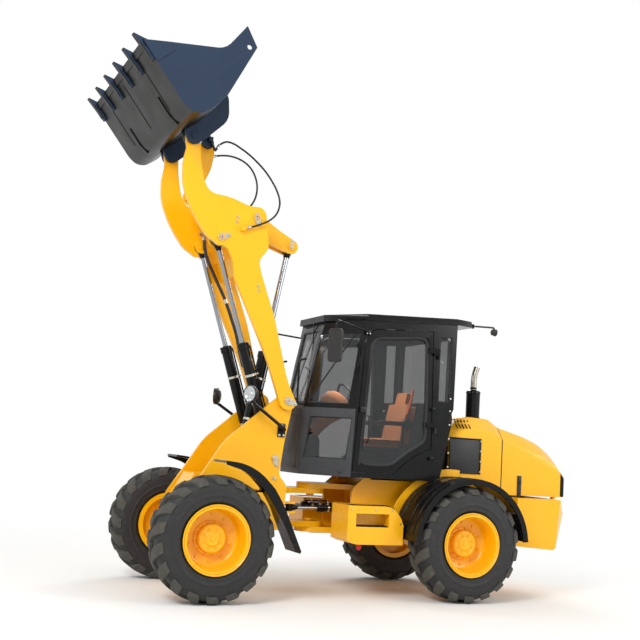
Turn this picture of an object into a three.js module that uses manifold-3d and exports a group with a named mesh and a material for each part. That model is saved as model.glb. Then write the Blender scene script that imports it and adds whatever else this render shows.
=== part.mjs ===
// Articulated wheel loader with a raised boom, in millimetres.
// +X is forward, +Y is left and +Z is up. Side outlines are lists of [x, z] points.
import * as THREE from 'three';
import { mergeVertices } from 'three/addons/utils/BufferGeometryUtils.js';
import { ConvexGeometry } from 'three/addons/geometries/ConvexGeometry.js';
import Module from 'manifold-3d';

const wasm = await Module();
wasm.setup();

// ---------------------------------------------------------------- overall sizes
const WHEELBASE = 2960;
const TRACK = 1820;            // between tyre centres
const TYRE_RADIUS = 640;
const TYRE_WIDTH = 394;
const ARTICULATION_X = 40;     // steering pivot, from the middle of the wheelbase
const BUCKET_WIDTH = 2380;
const CAB_WIDTH = 1400;

// ---------------------------------------------------------------- fits
const SEAT_GAP = 0.3;          // between pieces that touch
const FACE_GAP = 0.5;          // between the faces of a pivot
const PIN_GAP = 0.3;           // around a pin that turns
const PANEL_GAP = 8;           // around a door or a lid
const SIDES = 12;              // flats of a round pin, boss or cylinder
const LEVER_TUBE_SIDES = 24;

// ---------------------------------------------------------------- axles and wheels
const FRONT_AXLE_X = WHEELBASE / 2;
const REAR_AXLE_X = -WHEELBASE / 2;
const AXLE_Z = TYRE_RADIUS;
const AXLE_TUBE_RADIUS = 105;
const DIFFERENTIAL_RADIUS = 205;
const AXLE_MOUNT_Z = 880;      // underside of the frames above the axles
const HUB_RADIUS = 165;
const HUB_FACE = -40;          // axle drum end, from the tyre centre, outward positive
const RIM_FLANGE_RADIUS = 350;
const RIM_BARREL_RADIUS = 316;
const RIM_HALF_WIDTH = 190;
const RIM_WALL = 20;
const RIM_FLANGE = 18;
const DISC_THICKNESS = 26;
const HUB_CAP_RADIUS = 150;
const HUB_CAP_LENGTH = 130;
const WHEEL_SIDES = 24;

// ---------------------------------------------------------------- lift arms
const BOOM_PIVOT = [570, 2100];
const BUCKET_PIVOT = [1868, 4872];
const LIFT_ROD_PIVOT = [1472, 3817];
const LEVER_PIVOT = [1082, 4095];
const ARM_INNER_Y = 420;
const ARM_THICKNESS = 55;
const PIN_RADIUS = 35;
const LEVER_TUBE_RADIUS = 60;
const ARM_EYE_RADIUS = 100;
const ARM_TIP_RADIUS = 84;
const PIN_HEAD = 14;
const PIN_COLLAR = 8;           // a pin's shoulder, beyond its radius

// ---------------------------------------------------------------- tilt linkage
const LEVER_ROD_PIVOT = [500, 3897];
const LEVER_LINK_PIVOT = [1705, 4325];
const BUCKET_LINK_PIVOT = [1585, 4950];
const LEVER_PLATE_INNER_Y = 50;
const LEVER_PLATE = 35;
const LINK_HALF_WIDTH = 42;
const LEVER_HUB_RADIUS = 100;

// ---------------------------------------------------------------- cylinders
const LIFT_BASE_PIVOT = [656, 1466];
const LIFT_CYLINDER_Y = 295;
const LIFT_BARREL_RADIUS = 60;
const LIFT_BARREL_LENGTH = 1310;
const LIFT_ROD_RADIUS = 27.5;
const LIFT_ROD_LENGTH = 1430;
const TILT_BASE_PIVOT = [900, 1550];
const TILT_BARREL_RADIUS = 62;
const TILT_BARREL_LENGTH = 1120;
const TILT_ROD_RADIUS = 32;
const TILT_ROD_LENGTH = 1370;
const STEER_BASE = [-420, 200];
const STEER_EYE = [400, 270];
const STEER_Z = 935;
const STEER_BARREL_RADIUS = 38;
const STEER_BARREL_LENGTH = 460;
const STEER_ROD_RADIUS = 19;
const STEER_ROD_LENGTH = 530;
const EYE_HALF_WIDTH = 40;
const NECK_RADIUS = 36;
const BORE_FLOOR = 18;         // bottom of a barrel's bore, beyond its base eye

// ---------------------------------------------------------------- hoses
const HOSE_RADIUS = 11;
const HOSE_SIDES = 8;
const HOSE_STEPS = 44;
const PORT_RADIUS = 15;
const ARM_PORT_LENGTH = 44;
const TUBE_PORT_LENGTH = 85;
const HOSE_A = [
  [1486, 110, 4896], [1459, 110, 4937], [1421, 112, 4969], [1370, 116, 4989], [1294, 125, 4976],
  [1212, 140, 4934], [1118, 160, 4875], [1026, 190, 4795], [936, 230, 4696], [868, 280, 4585],
  [822, 340, 4469], [799, 400, 4345], [817, 450, 4240], [864, 490, 4148], [938, 510, 4072],
  [1030, 515, 4016], [1119, 510, 3976], [1197, 505, 3951],
];
const HOSE_B = [
  [1471, -110, 4852], [1413, -110, 4872], [1340, -115, 4890], [1253, -120, 4899], [1151, -130, 4890],
  [1059, -140, 4860], [983, -150, 4810], [924, -160, 4738], [885, -170, 4649], [873, -180, 4557],
  [887, -190, 4460], [930, -200, 4371], [985, -200, 4300], [1028, -200, 4235], [1050, -200, 4175],
];

// ---------------------------------------------------------------- bucket, in its own frame
// x runs along the bucket floor, z is square to it, and the origin is the bucket pivot.
const BUCKET_ROLL = 50.9;      // degrees that the floor is rolled back
const BUCKET_WALL = 24;
const BUCKET_SIDE = 20;
const FLOOR_Z = -188;
const CUTTING_EDGE_X = 1027;
const HEEL = [[282, -188], [175, -160], [106, -72], [97, 105], [125, 262]];
const EAR_REAR = [396, 855];
const EAR_TIP = [637, 893];
const SIDE_TOP_KINK = [547, 540];
const SIDE_LOW_KINK = [879, 42];
const TOOTH_COUNT = 6;
const TOOTH_WIDTH = 62;
const TOOTH_TIP_X = 1125;
const LUG_THICKNESS = 34;
const LUG_GAP = 10;

// ---------------------------------------------------------------- frames
const TOWER_PLATE_INNER_Y = 368;
const TOWER_PLATE = 42;
const KEEL_Y = 212;            // half width of the box between the lift cylinders
const HINGE_TOP_Z = 1150;
const HINGE_LOW_Z = 720;
const HINGE_PLATE = 60;
const HINGE_RADIUS = 165;
const HINGE_PIN_RADIUS = 45;
const REAR_RAIL_Y = 370;
const REAR_RAIL = 45;
const REAR_FRAME_BACK_X = REAR_AXLE_X - 900;

// ---------------------------------------------------------------- cab
const CAB_WALL = 48;
const CORNER_PILLAR = 50;
const CAB_FLOOR_Z = 1310;
const CAB_WAIST_Z = 2060;
const CAB_REAR_X = -1400;
const CAB_SHOULDER_X = -130;
const CAB_NOSE_X = 320;
const CAB_NOSE_Y = 270;
const CAB_TOP_FRONT_Z = 3030;
const CAB_TOP_REAR_Z = 3120;
const ROOF_THICKNESS = 75;
const ROOF_OVERHANG = 20;
const GLASS = 6;
const GLASS_INSET = 14;
const DOOR_ARCH_RADIUS = 1095;
const DOOR_HINGE_X = -1165;
const DOOR_HINGE_RADIUS = 15;

// ---------------------------------------------------------------- hood and counterweight
const COWL_FRONT_X = REAR_AXLE_X + 30;
const HOOD_FRONT_X = COWL_FRONT_X - 730;
const HOOD_REAR_X = COWL_FRONT_X - 1630;
const HOOD_HALF_WIDTH = 560;
const HOOD_WALL = 28;
const HOOD_LOW_Z = 1185;
const COUNTERWEIGHT_REAR_X = COWL_FRONT_X - 1742;
const COUNTERWEIGHT_FRONT_X = COWL_FRONT_X - 880;
const COUNTERWEIGHT_HALF_WIDTH = 700;
const HOOD_HINGE = [HOOD_REAR_X - 30, 1182];

// ---------------------------------------------------------------- fenders, steps and lamps
const FENDER_SHEET = 22;
const REAR_FENDER_RADIUS = 705;
const FENDER_OUTER_Y = TRACK / 2 + TYRE_WIDTH / 2 + 12;
const FENDER_LIP = 40;
const STEP_OUTER_Y = 850;
const LAMP_RADIUS = 92;
const LAMP_Y = 600;
const LAMP_Z = 2140;

// ---------------------------------------------------------------- materials
const steel = (color, metalness = 0.2, roughness = 0.45) =>
  new THREE.MeshStandardMaterial({ color, metalness, roughness });
const YELLOW = steel(0xffc010);
const BLACK = steel(0x25272b);
const SLATE = steel(0x3d4c5f);
const CHROME = steel(0xd0d4d8, 1, 0.15);
const RUBBER = steel(0x2f3032, 0, 0.85);
const IRON = steel(0x55565a, 0.6, 0.5);
const GLASS_TINT = new THREE.MeshStandardMaterial(
  { color: 0x8fa5a8, transparent: true, opacity: 0.35, roughness: 0.05 });
const SEAT_CLOTH = steel(0xb5713a, 0, 0.8);

// ---------------------------------------------------------------- solids
/** Turn a closed three.js geometry into a solid. */
function solid(geometry) {
  const bare = geometry.index ? geometry.toNonIndexed() : geometry.clone();
  bare.deleteAttribute('normal');
  bare.deleteAttribute('uv');
  const merged = mergeVertices(bare, 1e-3);
  return new wasm.Manifold(new wasm.Mesh({
    numProp: 3,
    vertProperties: new Float32Array(merged.attributes.position.array),
    triVerts: new Uint32Array(merged.index.array),
  }));
}

/** Turn a solid back into a geometry. */
function geometryOf(body) {
  const mesh = body.getMesh();
  const geometry = new THREE.BufferGeometry();
  geometry.setAttribute('position', new THREE.BufferAttribute(mesh.vertProperties, 3));
  geometry.setIndex(new THREE.BufferAttribute(mesh.triVerts, 1));
  return geometry;
}

const join = (...bodies) => bodies.reduce((sum, body) => sum.add(body));
const cut = (body, ...tools) => tools.reduce((rest, tool) => rest.subtract(tool), body);

/** Extrude a side outline of [x, z] points from y0 to y1. */
function sidePlate(outline, y0, y1) {
  const shape = new THREE.Shape(outline.map(([x, z]) => new THREE.Vector2(x, z)));
  const geometry = new THREE.ExtrudeGeometry(shape, { depth: y1 - y0, bevelEnabled: false });
  geometry.rotateX(Math.PI / 2);
  geometry.translate(0, y1, 0);
  return solid(geometry);
}

/** Extrude a plan outline of [x, y] points from z0 to z1. */
function floorPlate(outline, z0, z1) {
  const shape = new THREE.Shape(outline.map(([x, y]) => new THREE.Vector2(x, y)));
  const geometry = new THREE.ExtrudeGeometry(shape, { depth: z1 - z0, bevelEnabled: false });
  geometry.translate(0, 0, z0);
  return solid(geometry);
}

function box(x0, x1, y0, y1, z0, z1) {
  const geometry = new THREE.BoxGeometry(x1 - x0, y1 - y0, z1 - z0);
  geometry.translate((x0 + x1) / 2, (y0 + y1) / 2, (z0 + z1) / 2);
  return solid(geometry);
}

/** The convex solid around a list of [x, y, z] points. */
function hull(points) {
  return solid(new ConvexGeometry(points.map((p) => new THREE.Vector3(...p))));
}

/** A round bar between two [x, y, z] points. */
function bar(from, to, radius, sides = SIDES) {
  const start = new THREE.Vector3(...from);
  const end = new THREE.Vector3(...to);
  const span = end.clone().sub(start);
  const geometry = new THREE.CylinderGeometry(radius, radius, span.length(), sides);
  geometry.translate(0, span.length() / 2, 0);
  geometry.applyQuaternion(
    new THREE.Quaternion().setFromUnitVectors(new THREE.Vector3(0, 1, 0), span.normalize()));
  geometry.translate(start.x, start.y, start.z);
  return solid(geometry);
}

/** A round bar across the loader, at a side point [x, z]. */
const crossBar = ([x, z], y0, y1, radius, sides = SIDES) => bar([x, y0, z], [x, y1, z], radius, sides);

/** Radius of a faceted bore that a faceted pin can turn in. */
const boreFor = (radius, sides = SIDES) => (radius + PIN_GAP) / Math.cos(Math.PI / sides);

/** Points of an arc about a side point, in degrees. */
function arc([x, z], radius, from, to, steps) {
  return Array.from({ length: steps + 1 }, (_, i) => {
    const angle = THREE.MathUtils.degToRad(from + (to - from) * i / steps);
    return [x + radius * Math.cos(angle), z + radius * Math.sin(angle)];
  });
}

/** A round-ended plate between two side points. */
function tag([x0, z0], r0, [x1, z1], r1, y0, y1, steps = 5) {
  const heading = THREE.MathUtils.radToDeg(Math.atan2(z1 - z0, x1 - x0));
  return hull([
    ...arc([x0, z0], r0, heading + 90, heading + 270, steps),
    ...arc([x1, z1], r1, heading - 90, heading + 90, steps),
  ].flatMap(([x, z]) => [[x, y0, z], [x, y1, z]]));
}

/** Mirror a solid to the other side of the loader. */
function mirrored(body) {
  const geometry = geometryOf(body);
  geometry.scale(1, -1, 1);
  const index = geometry.index.array;
  for (let i = 0; i < index.length; i += 3) {
    [index[i], index[i + 1]] = [index[i + 1], index[i]];
  }
  return solid(geometry);
}

const both = (body) => join(body, mirrored(body));

const offset = ([x, z], dx, dz) => [x + dx, z + dz];

// ---------------------------------------------------------------- scene graph
const loader = new THREE.Group();
const frontBody = new THREE.Group();
const rearBody = new THREE.Group();
loader.add(frontBody, rearBody);

function place(group, name, body, material) {
  const mesh = new THREE.Mesh(geometryOf(body), material);
  mesh.name = name;
  group.add(mesh);
  return mesh;
}

// ---------------------------------------------------------------- wheels
/** Spin a closed profile of [radius, offset] points about Y. */
function spun(profile) {
  return solid(new THREE.LatheGeometry(profile.map(([r, y]) => new THREE.Vector2(r, y)), WHEEL_SIDES));
}

function tyreBody() {
  const half = TYRE_WIDTH / 2;
  const bead = RIM_BARREL_RADIUS + SEAT_GAP;
  const beadHalf = RIM_HALF_WIDTH - RIM_FLANGE - SEAT_GAP;
  const outline = [
    [bead, -beadHalf], [bead + 42, -beadHalf], [bead + 100, -half],
    [TYRE_RADIUS - 90, -half], [TYRE_RADIUS, -half + 60], [TYRE_RADIUS, half - 60], [TYRE_RADIUS - 90, half],
    [bead + 100, half], [bead + 42, beadHalf], [bead, beadHalf], [bead, -beadHalf],
  ];
  return spun(outline);
}

/** Rim, disc and planetary hub cap, with +Y outward. */
function rimBody() {
  const inner = RIM_BARREL_RADIUS - RIM_WALL;
  const half = RIM_HALF_WIDTH;
  const disc = HUB_FACE + FACE_GAP;
  return spun([
    [0, disc], [inner, disc], [inner, -half], [RIM_FLANGE_RADIUS, -half],
    [RIM_FLANGE_RADIUS, -half + RIM_FLANGE], [RIM_BARREL_RADIUS, -half + RIM_FLANGE],
    [RIM_BARREL_RADIUS, half - RIM_FLANGE], [RIM_FLANGE_RADIUS, half - RIM_FLANGE],
    [RIM_FLANGE_RADIUS, half], [inner, half], [inner, disc + DISC_THICKNESS],
    [HUB_CAP_RADIUS, disc + DISC_THICKNESS], [HUB_CAP_RADIUS - 20, disc + HUB_CAP_LENGTH],
    [0, disc + HUB_CAP_LENGTH],
  ]);
}

function addWheel(group, end, x, side) {
  const label = `${end}_${side > 0 ? 'left' : 'right'}`;
  const wheel = new THREE.Group();
  wheel.position.set(x, side * TRACK / 2, AXLE_Z);
  wheel.rotation.z = side > 0 ? 0 : Math.PI;
  group.add(wheel);
  place(wheel, `tyre_${label}`, tyreBody(), RUBBER);
  place(wheel, `rim_${label}`, rimBody(), YELLOW);
}

/** Axle housing: differential, tubes, and a drum behind each wheel disc. */
function axleBody(x, plateY, plate) {
  const reach = TRACK / 2 + HUB_FACE;
  const at = (y) => [x, y, AXLE_Z];
  return join(
    bar(at(-reach), at(reach), AXLE_TUBE_RADIUS),
    bar(at(-130), at(130), DIFFERENTIAL_RADIUS),
    bar([x - 260, 0, AXLE_Z], [x + 230, 0, AXLE_Z], 120),
    both(bar(at(reach - 250), at(reach), HUB_RADIUS)),
    both(box(x - 110, x + 110, plateY, plateY + plate, AXLE_Z, AXLE_MOUNT_Z - SEAT_GAP)),
  );
}

// ---------------------------------------------------------------- front frame
function frontFrameBody() {
  const seatBack = FRONT_AXLE_X - 300;
  const seatFront = FRONT_AXLE_X + 160;
  const outline = [
    ...arc(BOOM_PIVOT, ARM_EYE_RADIUS - 8, 180, 50, 6),
    [1243, 1634], [1471, 1267], [seatFront, 1010], [seatFront, AXLE_MOUNT_Z], [seatBack + 60, AXLE_MOUNT_Z],
    [seatBack, 720],
    [520, 690], [500, 1180], [600, 1290], [560, 1640],
  ];
  const outer = TOWER_PLATE_INNER_Y + TOWER_PLATE;
  const plates = both(sidePlate(outline, TOWER_PLATE_INNER_Y, outer));
  const inside = TOWER_PLATE_INNER_Y + 1;
  const across = (x0, x1, z0, z1) => box(x0, x1, -inside, inside, z0, z1);
  const tongue = (z0, z1) => join(
    floorPlate([
      ...arc([ARTICULATION_X, 0], HINGE_RADIUS, 90, 270, 10),
      [ARTICULATION_X + 260, -HINGE_RADIUS - 20], [560, -inside], [560, inside],
      [ARTICULATION_X + 260, HINGE_RADIUS + 20],
    ], z0, z1));
  const pinHole = bar([ARTICULATION_X, 0, 0], [ARTICULATION_X, 0, 2000], boreFor(HINGE_PIN_RADIUS));
  const steerLugs = both(join(
    steerLug(STEER_EYE, 560, STEER_Z + EYE_HALF_WIDTH + FACE_GAP, 22),
    steerLug(STEER_EYE, 560, STEER_Z - EYE_HALF_WIDTH - FACE_GAP - 22, 22)));
  const tiltLugs = both(tag(TILT_BASE_PIVOT, 75, offset(TILT_BASE_PIVOT, 120, -260), 75,
    EYE_HALF_WIDTH + FACE_GAP, EYE_HALF_WIDTH + FACE_GAP + 35));
  const body = join(
    plates,
    across(seatBack, seatFront - 20, AXLE_MOUNT_Z, AXLE_MOUNT_Z + 50),
    across(520, seatBack, 700, 740),
    across(520, 560, 700, 1180),
    sidePlate([
      [1471, 1250], [1500, 1250], [seatFront, 1010], [seatFront, 900], [seatFront - 35, 900],
      [seatFront - 35, 1000],
    ],
      -KEEL_Y, KEEL_Y),
    box(940, 1500, -KEEL_Y, KEEL_Y, 1220, 1262),
    both(sidePlate([
      [seatBack + 1, 900], [seatFront - 1, 900], [seatFront - 1, 1010], [1499, 1250], [seatBack + 1, 1250],
    ],
      KEEL_Y - 25, KEEL_Y)),
    tongue(HINGE_TOP_Z - HINGE_PLATE, HINGE_TOP_Z),
    tongue(HINGE_LOW_Z, HINGE_LOW_Z + HINGE_PLATE),
    steerLugs, tiltLugs,
    crossBar(TILT_BASE_PIVOT, -EYE_HALF_WIDTH - 36, EYE_HALF_WIDTH + 36, PIN_RADIUS),
    both(crossBar(LIFT_BASE_PIVOT, LIFT_CYLINDER_Y - EYE_HALF_WIDTH - 10, outer + 20, PIN_RADIUS)),
    both(crossBar(LIFT_BASE_PIVOT, LIFT_CYLINDER_Y + EYE_HALF_WIDTH + FACE_GAP,
      TOWER_PLATE_INNER_Y + 1, 55)),
    both(crossBar(BOOM_PIVOT, TOWER_PLATE_INNER_Y + 1, ARM_INNER_Y + ARM_THICKNESS + PIN_HEAD, PIN_RADIUS)),
    both(crossBar(BOOM_PIVOT, TOWER_PLATE_INNER_Y + 1, ARM_INNER_Y - FACE_GAP, 70)),
  );
  return cut(body, pinHole);
}

/** A steering cylinder lug around a plan point [x, y], back or forward to a cross plate. */
function steerLug([x, y], plateX, z, thickness) {
  const step = Math.sign(plateX - x) * 55;
  return floorPlate([[x - step, y - 45], [plateX + step / 4, y - 60], [plateX + step / 4, y + 60],
    [x - step, y + 45]], z, z + thickness);
}

// ---------------------------------------------------------------- rear frame
function rearFrameBody() {
  const outer = REAR_RAIL_Y + REAR_RAIL;
  const seatBack = REAR_AXLE_X - 260;
  const seatFront = REAR_AXLE_X + 250;
  const rail = sidePlate([
    [-300, 1180], [-300, 760], [seatFront + 110, 700], [seatFront, AXLE_MOUNT_Z], [seatBack, AXLE_MOUNT_Z],
    [seatBack - 120, 740],
    [REAR_FRAME_BACK_X, 700], [REAR_FRAME_BACK_X, 1150], [-1400, 1150], [-1300, 1285], [-420, 1285],
  ], REAR_RAIL_Y, outer);
  const inside = REAR_RAIL_Y + 1;
  const tongue = (z0, z1) => floorPlate([
    ...arc([ARTICULATION_X, 0], HINGE_RADIUS, 90, -90, 10),
    [-260, -HINGE_RADIUS - 20], [-560, -inside], [-560, inside], [-260, HINGE_RADIUS + 20],
  ], z0, z1);
  const top = HINGE_TOP_Z + FACE_GAP;
  const low = HINGE_LOW_Z - FACE_GAP;
  const pins = join(
    bar([ARTICULATION_X, 0, HINGE_TOP_Z - HINGE_PLATE - 25], [ARTICULATION_X, 0, top + HINGE_PLATE],
      HINGE_PIN_RADIUS),
    bar([ARTICULATION_X, 0, low - HINGE_PLATE], [ARTICULATION_X, 0, HINGE_LOW_Z + HINGE_PLATE + 25],
      HINGE_PIN_RADIUS));
  const steerLugs = both(join(
    steerLug(STEER_BASE, -560, STEER_Z + EYE_HALF_WIDTH + FACE_GAP, 22),
    steerLug(STEER_BASE, -560, STEER_Z - EYE_HALF_WIDTH - FACE_GAP - 22, 22),
    bar([...STEER_BASE, STEER_Z - EYE_HALF_WIDTH - 10],
      [...STEER_BASE, STEER_Z + EYE_HALF_WIDTH + 10], 22)));
  const cowlBearer = (x) => both(box(x, x + 50, REAR_RAIL_Y, HOOD_HALF_WIDTH, 1120, HOOD_LOW_Z - SEAT_GAP));
  return join(
    both(rail),
    box(-600, -560, -inside, inside, 700, 1285),
    box(-1300, -600, -inside, inside, 1245, 1285),
    box(REAR_FRAME_BACK_X, REAR_FRAME_BACK_X + 45, -inside, inside, 700, 1150),
    box(seatBack, seatFront, -inside, inside, AXLE_MOUNT_Z, AXLE_MOUNT_Z + 30),
    cowlBearer(COWL_FRONT_X - 190), cowlBearer(COWL_FRONT_X - 710),
    both(box(-520, -440, REAR_RAIL_Y - 60, REAR_RAIL_Y + REAR_RAIL, 1250, CAB_FLOOR_Z - SEAT_GAP)),
    both(box(-1180, -1100, REAR_RAIL_Y - 60, REAR_RAIL_Y + REAR_RAIL, 1250, CAB_FLOOR_Z - SEAT_GAP)),
    tongue(top, top + HINGE_PLATE),
    tongue(low - HINGE_PLATE, low),
    pins, steerLugs,
  );
}

// ---------------------------------------------------------------- lift arms
const armOuterY = ARM_INNER_Y + ARM_THICKNESS;

function boomBody() {
  const outline = [
    ...arc(BUCKET_PIVOT, ARM_TIP_RADIUS, -20, 170, 8),
    [1765, 4621], [1713, 4413], [1660, 4325], [1590, 4285], [1387, 4271], [1180, 4204],
    ...arc(LEVER_PIVOT, 120, 110, 190, 4),
    [924, 3835], [922, 3750], [1018, 3613], [985, 3480], [797, 3010], [598, 2329],
    ...arc(BOOM_PIVOT, ARM_EYE_RADIUS, 190, 350, 8),
    [854, 2553], [1131, 3087], [1289, 3396], [1312, 3551], [1375, 3690],
    ...arc(LIFT_ROD_PIVOT, 92, 250, 320, 3),
    [1631, 3804], [1745, 3945], [1850, 4109], [1946, 4341], [1958, 4560], [1946, 4653], [1926, 4750],
  ];
  const arm = cut(
    join(
      sidePlate(outline, ARM_INNER_Y, armOuterY),
      crossBar(BUCKET_PIVOT, ARM_INNER_Y - LUG_GAP + FACE_GAP, armOuterY + LUG_GAP - FACE_GAP, 75),
      crossBar(LIFT_ROD_PIVOT, ARM_INNER_Y + 1, armOuterY + PIN_HEAD, 45),
      crossBar(LIFT_ROD_PIVOT, LIFT_CYLINDER_Y + EYE_HALF_WIDTH + FACE_GAP, ARM_INNER_Y + 1, PIN_RADIUS),
      crossBar(LEVER_PIVOT, ARM_INNER_Y + 1, armOuterY + PIN_HEAD, 45)),
    crossBar(BUCKET_PIVOT, 300, 600, boreFor(PIN_RADIUS)),
    crossBar(BOOM_PIVOT, 300, 600, boreFor(PIN_RADIUS)));
  const crossPlate = sidePlate([[1130, 3480], [1165, 3470], [1230, 3660], [1195, 3680]],
    -ARM_INNER_Y - 1, ARM_INNER_Y + 1);
  const endA = HOSE_A[HOSE_A.length - 1];
  const armPort = beyond(HOSE_A[HOSE_A.length - 2], endA, ARM_PORT_LENGTH);
  const endB = HOSE_B[HOSE_B.length - 1];
  const tubePort = beyond(HOSE_B[HOSE_B.length - 2], endB, TUBE_PORT_LENGTH);
  const [portX, , portZ] = armPort;
  return join(
    both(arm),
    crossBar(LEVER_PIVOT, -ARM_INNER_Y - 1, ARM_INNER_Y + 1, LEVER_TUBE_RADIUS, LEVER_TUBE_SIDES),
    crossPlate,
    bar(along(endA, armPort, SEAT_GAP), armPort, PORT_RADIUS),
    box(portX - 20, portX + 26, armOuterY - 1, endA[1] + 20, portZ - 24, portZ + 22),
    bar(along(endB, tubePort, SEAT_GAP), tubePort, PORT_RADIUS));
}

function bellcrankBody() {
  const outerY = LEVER_PLATE_INNER_Y + LEVER_PLATE;
  const outline = [
    ...arc(LEVER_LINK_PIVOT, 85, -60, 130, 6),
    [1486, 4384], [1271, 4366], [1160, 4336], [1049, 4299], [935, 4244], [819, 4165], [651, 4063],
    ...arc(LEVER_ROD_PIVOT, 86, 100, 285, 6),
    [779, 3893], [1000, 3950], [1200, 3985], [1440, 4120],
  ];
  const plate = join(
    sidePlate(outline, LEVER_PLATE_INNER_Y, outerY),
    crossBar(LEVER_ROD_PIVOT, EYE_HALF_WIDTH + FACE_GAP, outerY + PIN_HEAD, PIN_RADIUS + PIN_COLLAR),
    crossBar(LEVER_LINK_PIVOT, LINK_HALF_WIDTH + FACE_GAP, outerY + PIN_HEAD, PIN_RADIUS + PIN_COLLAR));
  return cut(
    join(both(plate), crossBar(LEVER_PIVOT, -outerY - 30, outerY + 30, LEVER_HUB_RADIUS)),
    crossBar(LEVER_PIVOT, -400, 400, boreFor(LEVER_TUBE_RADIUS, LEVER_TUBE_SIDES), LEVER_TUBE_SIDES));
}

/** The link from the lever to the bucket. It turns on the bucket's pin. */
function tiltLinkBody() {
  const y = LINK_HALF_WIDTH;
  return cut(
    join(
      crossBar(BUCKET_LINK_PIVOT, -y, y, 72),
      crossBar(LEVER_LINK_PIVOT, -y, y, 72),
      sidePlate([
        ...arc(BUCKET_LINK_PIVOT, 72, 0, 150, 5), [1492, 4900], [1489, 4832], [1514, 4664], [1570, 4530],
        [1622, 4410], ...arc(LEVER_LINK_PIVOT, 72, 190, 360, 5), [1726, 4441], [1648, 4850],
      ], -32, 32)),
    crossBar(BUCKET_LINK_PIVOT, -100, 100, boreFor(PIN_RADIUS)),
    crossBar(LEVER_LINK_PIVOT, -100, 100, boreFor(PIN_RADIUS)));
}

// ---------------------------------------------------------------- bucket
/** Move a body from the bucket's own frame to its place on the arms. */
function rolledBack(body) {
  const geometry = geometryOf(body);
  geometry.rotateY(-THREE.MathUtils.degToRad(BUCKET_ROLL));
  geometry.translate(BUCKET_PIVOT[0], 0, BUCKET_PIVOT[1]);
  return solid(geometry);
}

/** A point of the loader's side view, in the bucket's own frame. */
function inBucket([x, z]) {
  const roll = THREE.MathUtils.degToRad(BUCKET_ROLL);
  const dx = x - BUCKET_PIVOT[0];
  const dz = z - BUCKET_PIVOT[1];
  return [dx * Math.cos(roll) + dz * Math.sin(roll), dz * Math.cos(roll) - dx * Math.sin(roll)];
}

function bucketBody() {
  const half = BUCKET_WIDTH / 2;
  const shell = sidePlate([
    [CUTTING_EDGE_X, FLOOR_Z], ...HEEL, EAR_REAR, EAR_TIP, SIDE_TOP_KINK, SIDE_LOW_KINK,
  ], -half, half);
  const t = BUCKET_WALL;
  const hollow = sidePlate([
    [CUTTING_EDGE_X + 200, FLOOR_Z + t], [288, FLOOR_Z + t], [188, -138], [130, -62], [121, 103],
    [148, 257], [409, 822], [427, 1200], [1500, 1200], [1500, FLOOR_Z + t],
  ], -half + BUCKET_SIDE, half - BUCKET_SIDE);
  const linkPin = inBucket(BUCKET_LINK_PIVOT);
  const lug = (y0) => sidePlate([
    ...arc([0, 0], 92, 160, 300, 6), [125, -50], [150, 262], [290, 582], [162, 587], [-51, 442], [-81, 172],
  ], y0, y0 + LUG_THICKNESS);
  const linkLug = (y0) => sidePlate([
    ...arc(linkPin, 70, 60, 270, 7), [100, 130], [145, 262], [250, 522],
  ], y0, y0 + LUG_THICKNESS);
  const innerLug = ARM_INNER_Y - LUG_GAP - LUG_THICKNESS;
  const outerLug = armOuterY + LUG_GAP;
  const lugs = both(join(
    lug(innerLug), lug(outerLug),
    crossBar([0, 0], innerLug + 1, outerLug + LUG_THICKNESS + PIN_HEAD, PIN_RADIUS),
    linkLug(LINK_HALF_WIDTH + FACE_GAP + 8)));
  const centrePin = crossBar(linkPin, -LINK_HALF_WIDTH - 20, LINK_HALF_WIDTH + 20, PIN_RADIUS);
  const teeth = Array.from({ length: TOOTH_COUNT }, (_, i) => {
    const y = (i / (TOOTH_COUNT - 1) - 0.5) * (BUCKET_WIDTH - TOOTH_WIDTH - 30);
    return sidePlate([
      [800, FLOOR_Z - 28], [TOOTH_TIP_X, FLOOR_Z - 50], [TOOTH_TIP_X, FLOOR_Z - 38],
      [1010, FLOOR_Z + 42], [930, FLOOR_Z + 46], [800, FLOOR_Z + 5],
    ], y - TOOTH_WIDTH / 2, y + TOOTH_WIDTH / 2);
  });
  const ports = join(
    hosePort([1567, 110, 4986], HOSE_A),
    hosePort([1567, -110, 4945], HOSE_B));
  return join(rolledBack(join(cut(join(shell, lugs), hollow), centrePin, ...teeth)), ports);
}

/** Valve block on a link lug, with a bent tube to the first point of a hose. */
function hosePort([x, y, z], route) {
  const elbow = beyond(route[1], route[0], 38);
  const size = 25;
  const inner = Math.sign(y) * (LINK_HALF_WIDTH + FACE_GAP + 8 + LUG_THICKNESS - 1);
  const outer = y + Math.sign(y) * size;
  const start = along(route[0], elbow, SEAT_GAP);
  return join(
    box(x - size, x + size, Math.min(inner, outer), Math.max(inner, outer), z - size, z + size),
    bar([x, y, z], elbow, PORT_RADIUS),
    bar(elbow, start, PORT_RADIUS));
}

// ---------------------------------------------------------------- hoses
function hoseBody(route) {
  const path = new THREE.CatmullRomCurve3(route.map((p) => new THREE.Vector3(...p)));
  const section = new THREE.Shape(Array.from({ length: HOSE_SIDES }, (_, i) => {
    const angle = 2 * Math.PI * i / HOSE_SIDES;
    return new THREE.Vector2(HOSE_RADIUS * Math.cos(angle), HOSE_RADIUS * Math.sin(angle));
  }));
  return solid(new THREE.ExtrudeGeometry(section, { steps: HOSE_STEPS, extrudePath: path }));
}

// ---------------------------------------------------------------- cylinders
/** Point at a distance from one [x, y, z] point towards another. */
function along(from, to, distance) {
  return new THREE.Vector3(...to).sub(new THREE.Vector3(...from)).setLength(distance)
    .add(new THREE.Vector3(...from)).toArray();
}

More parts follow.
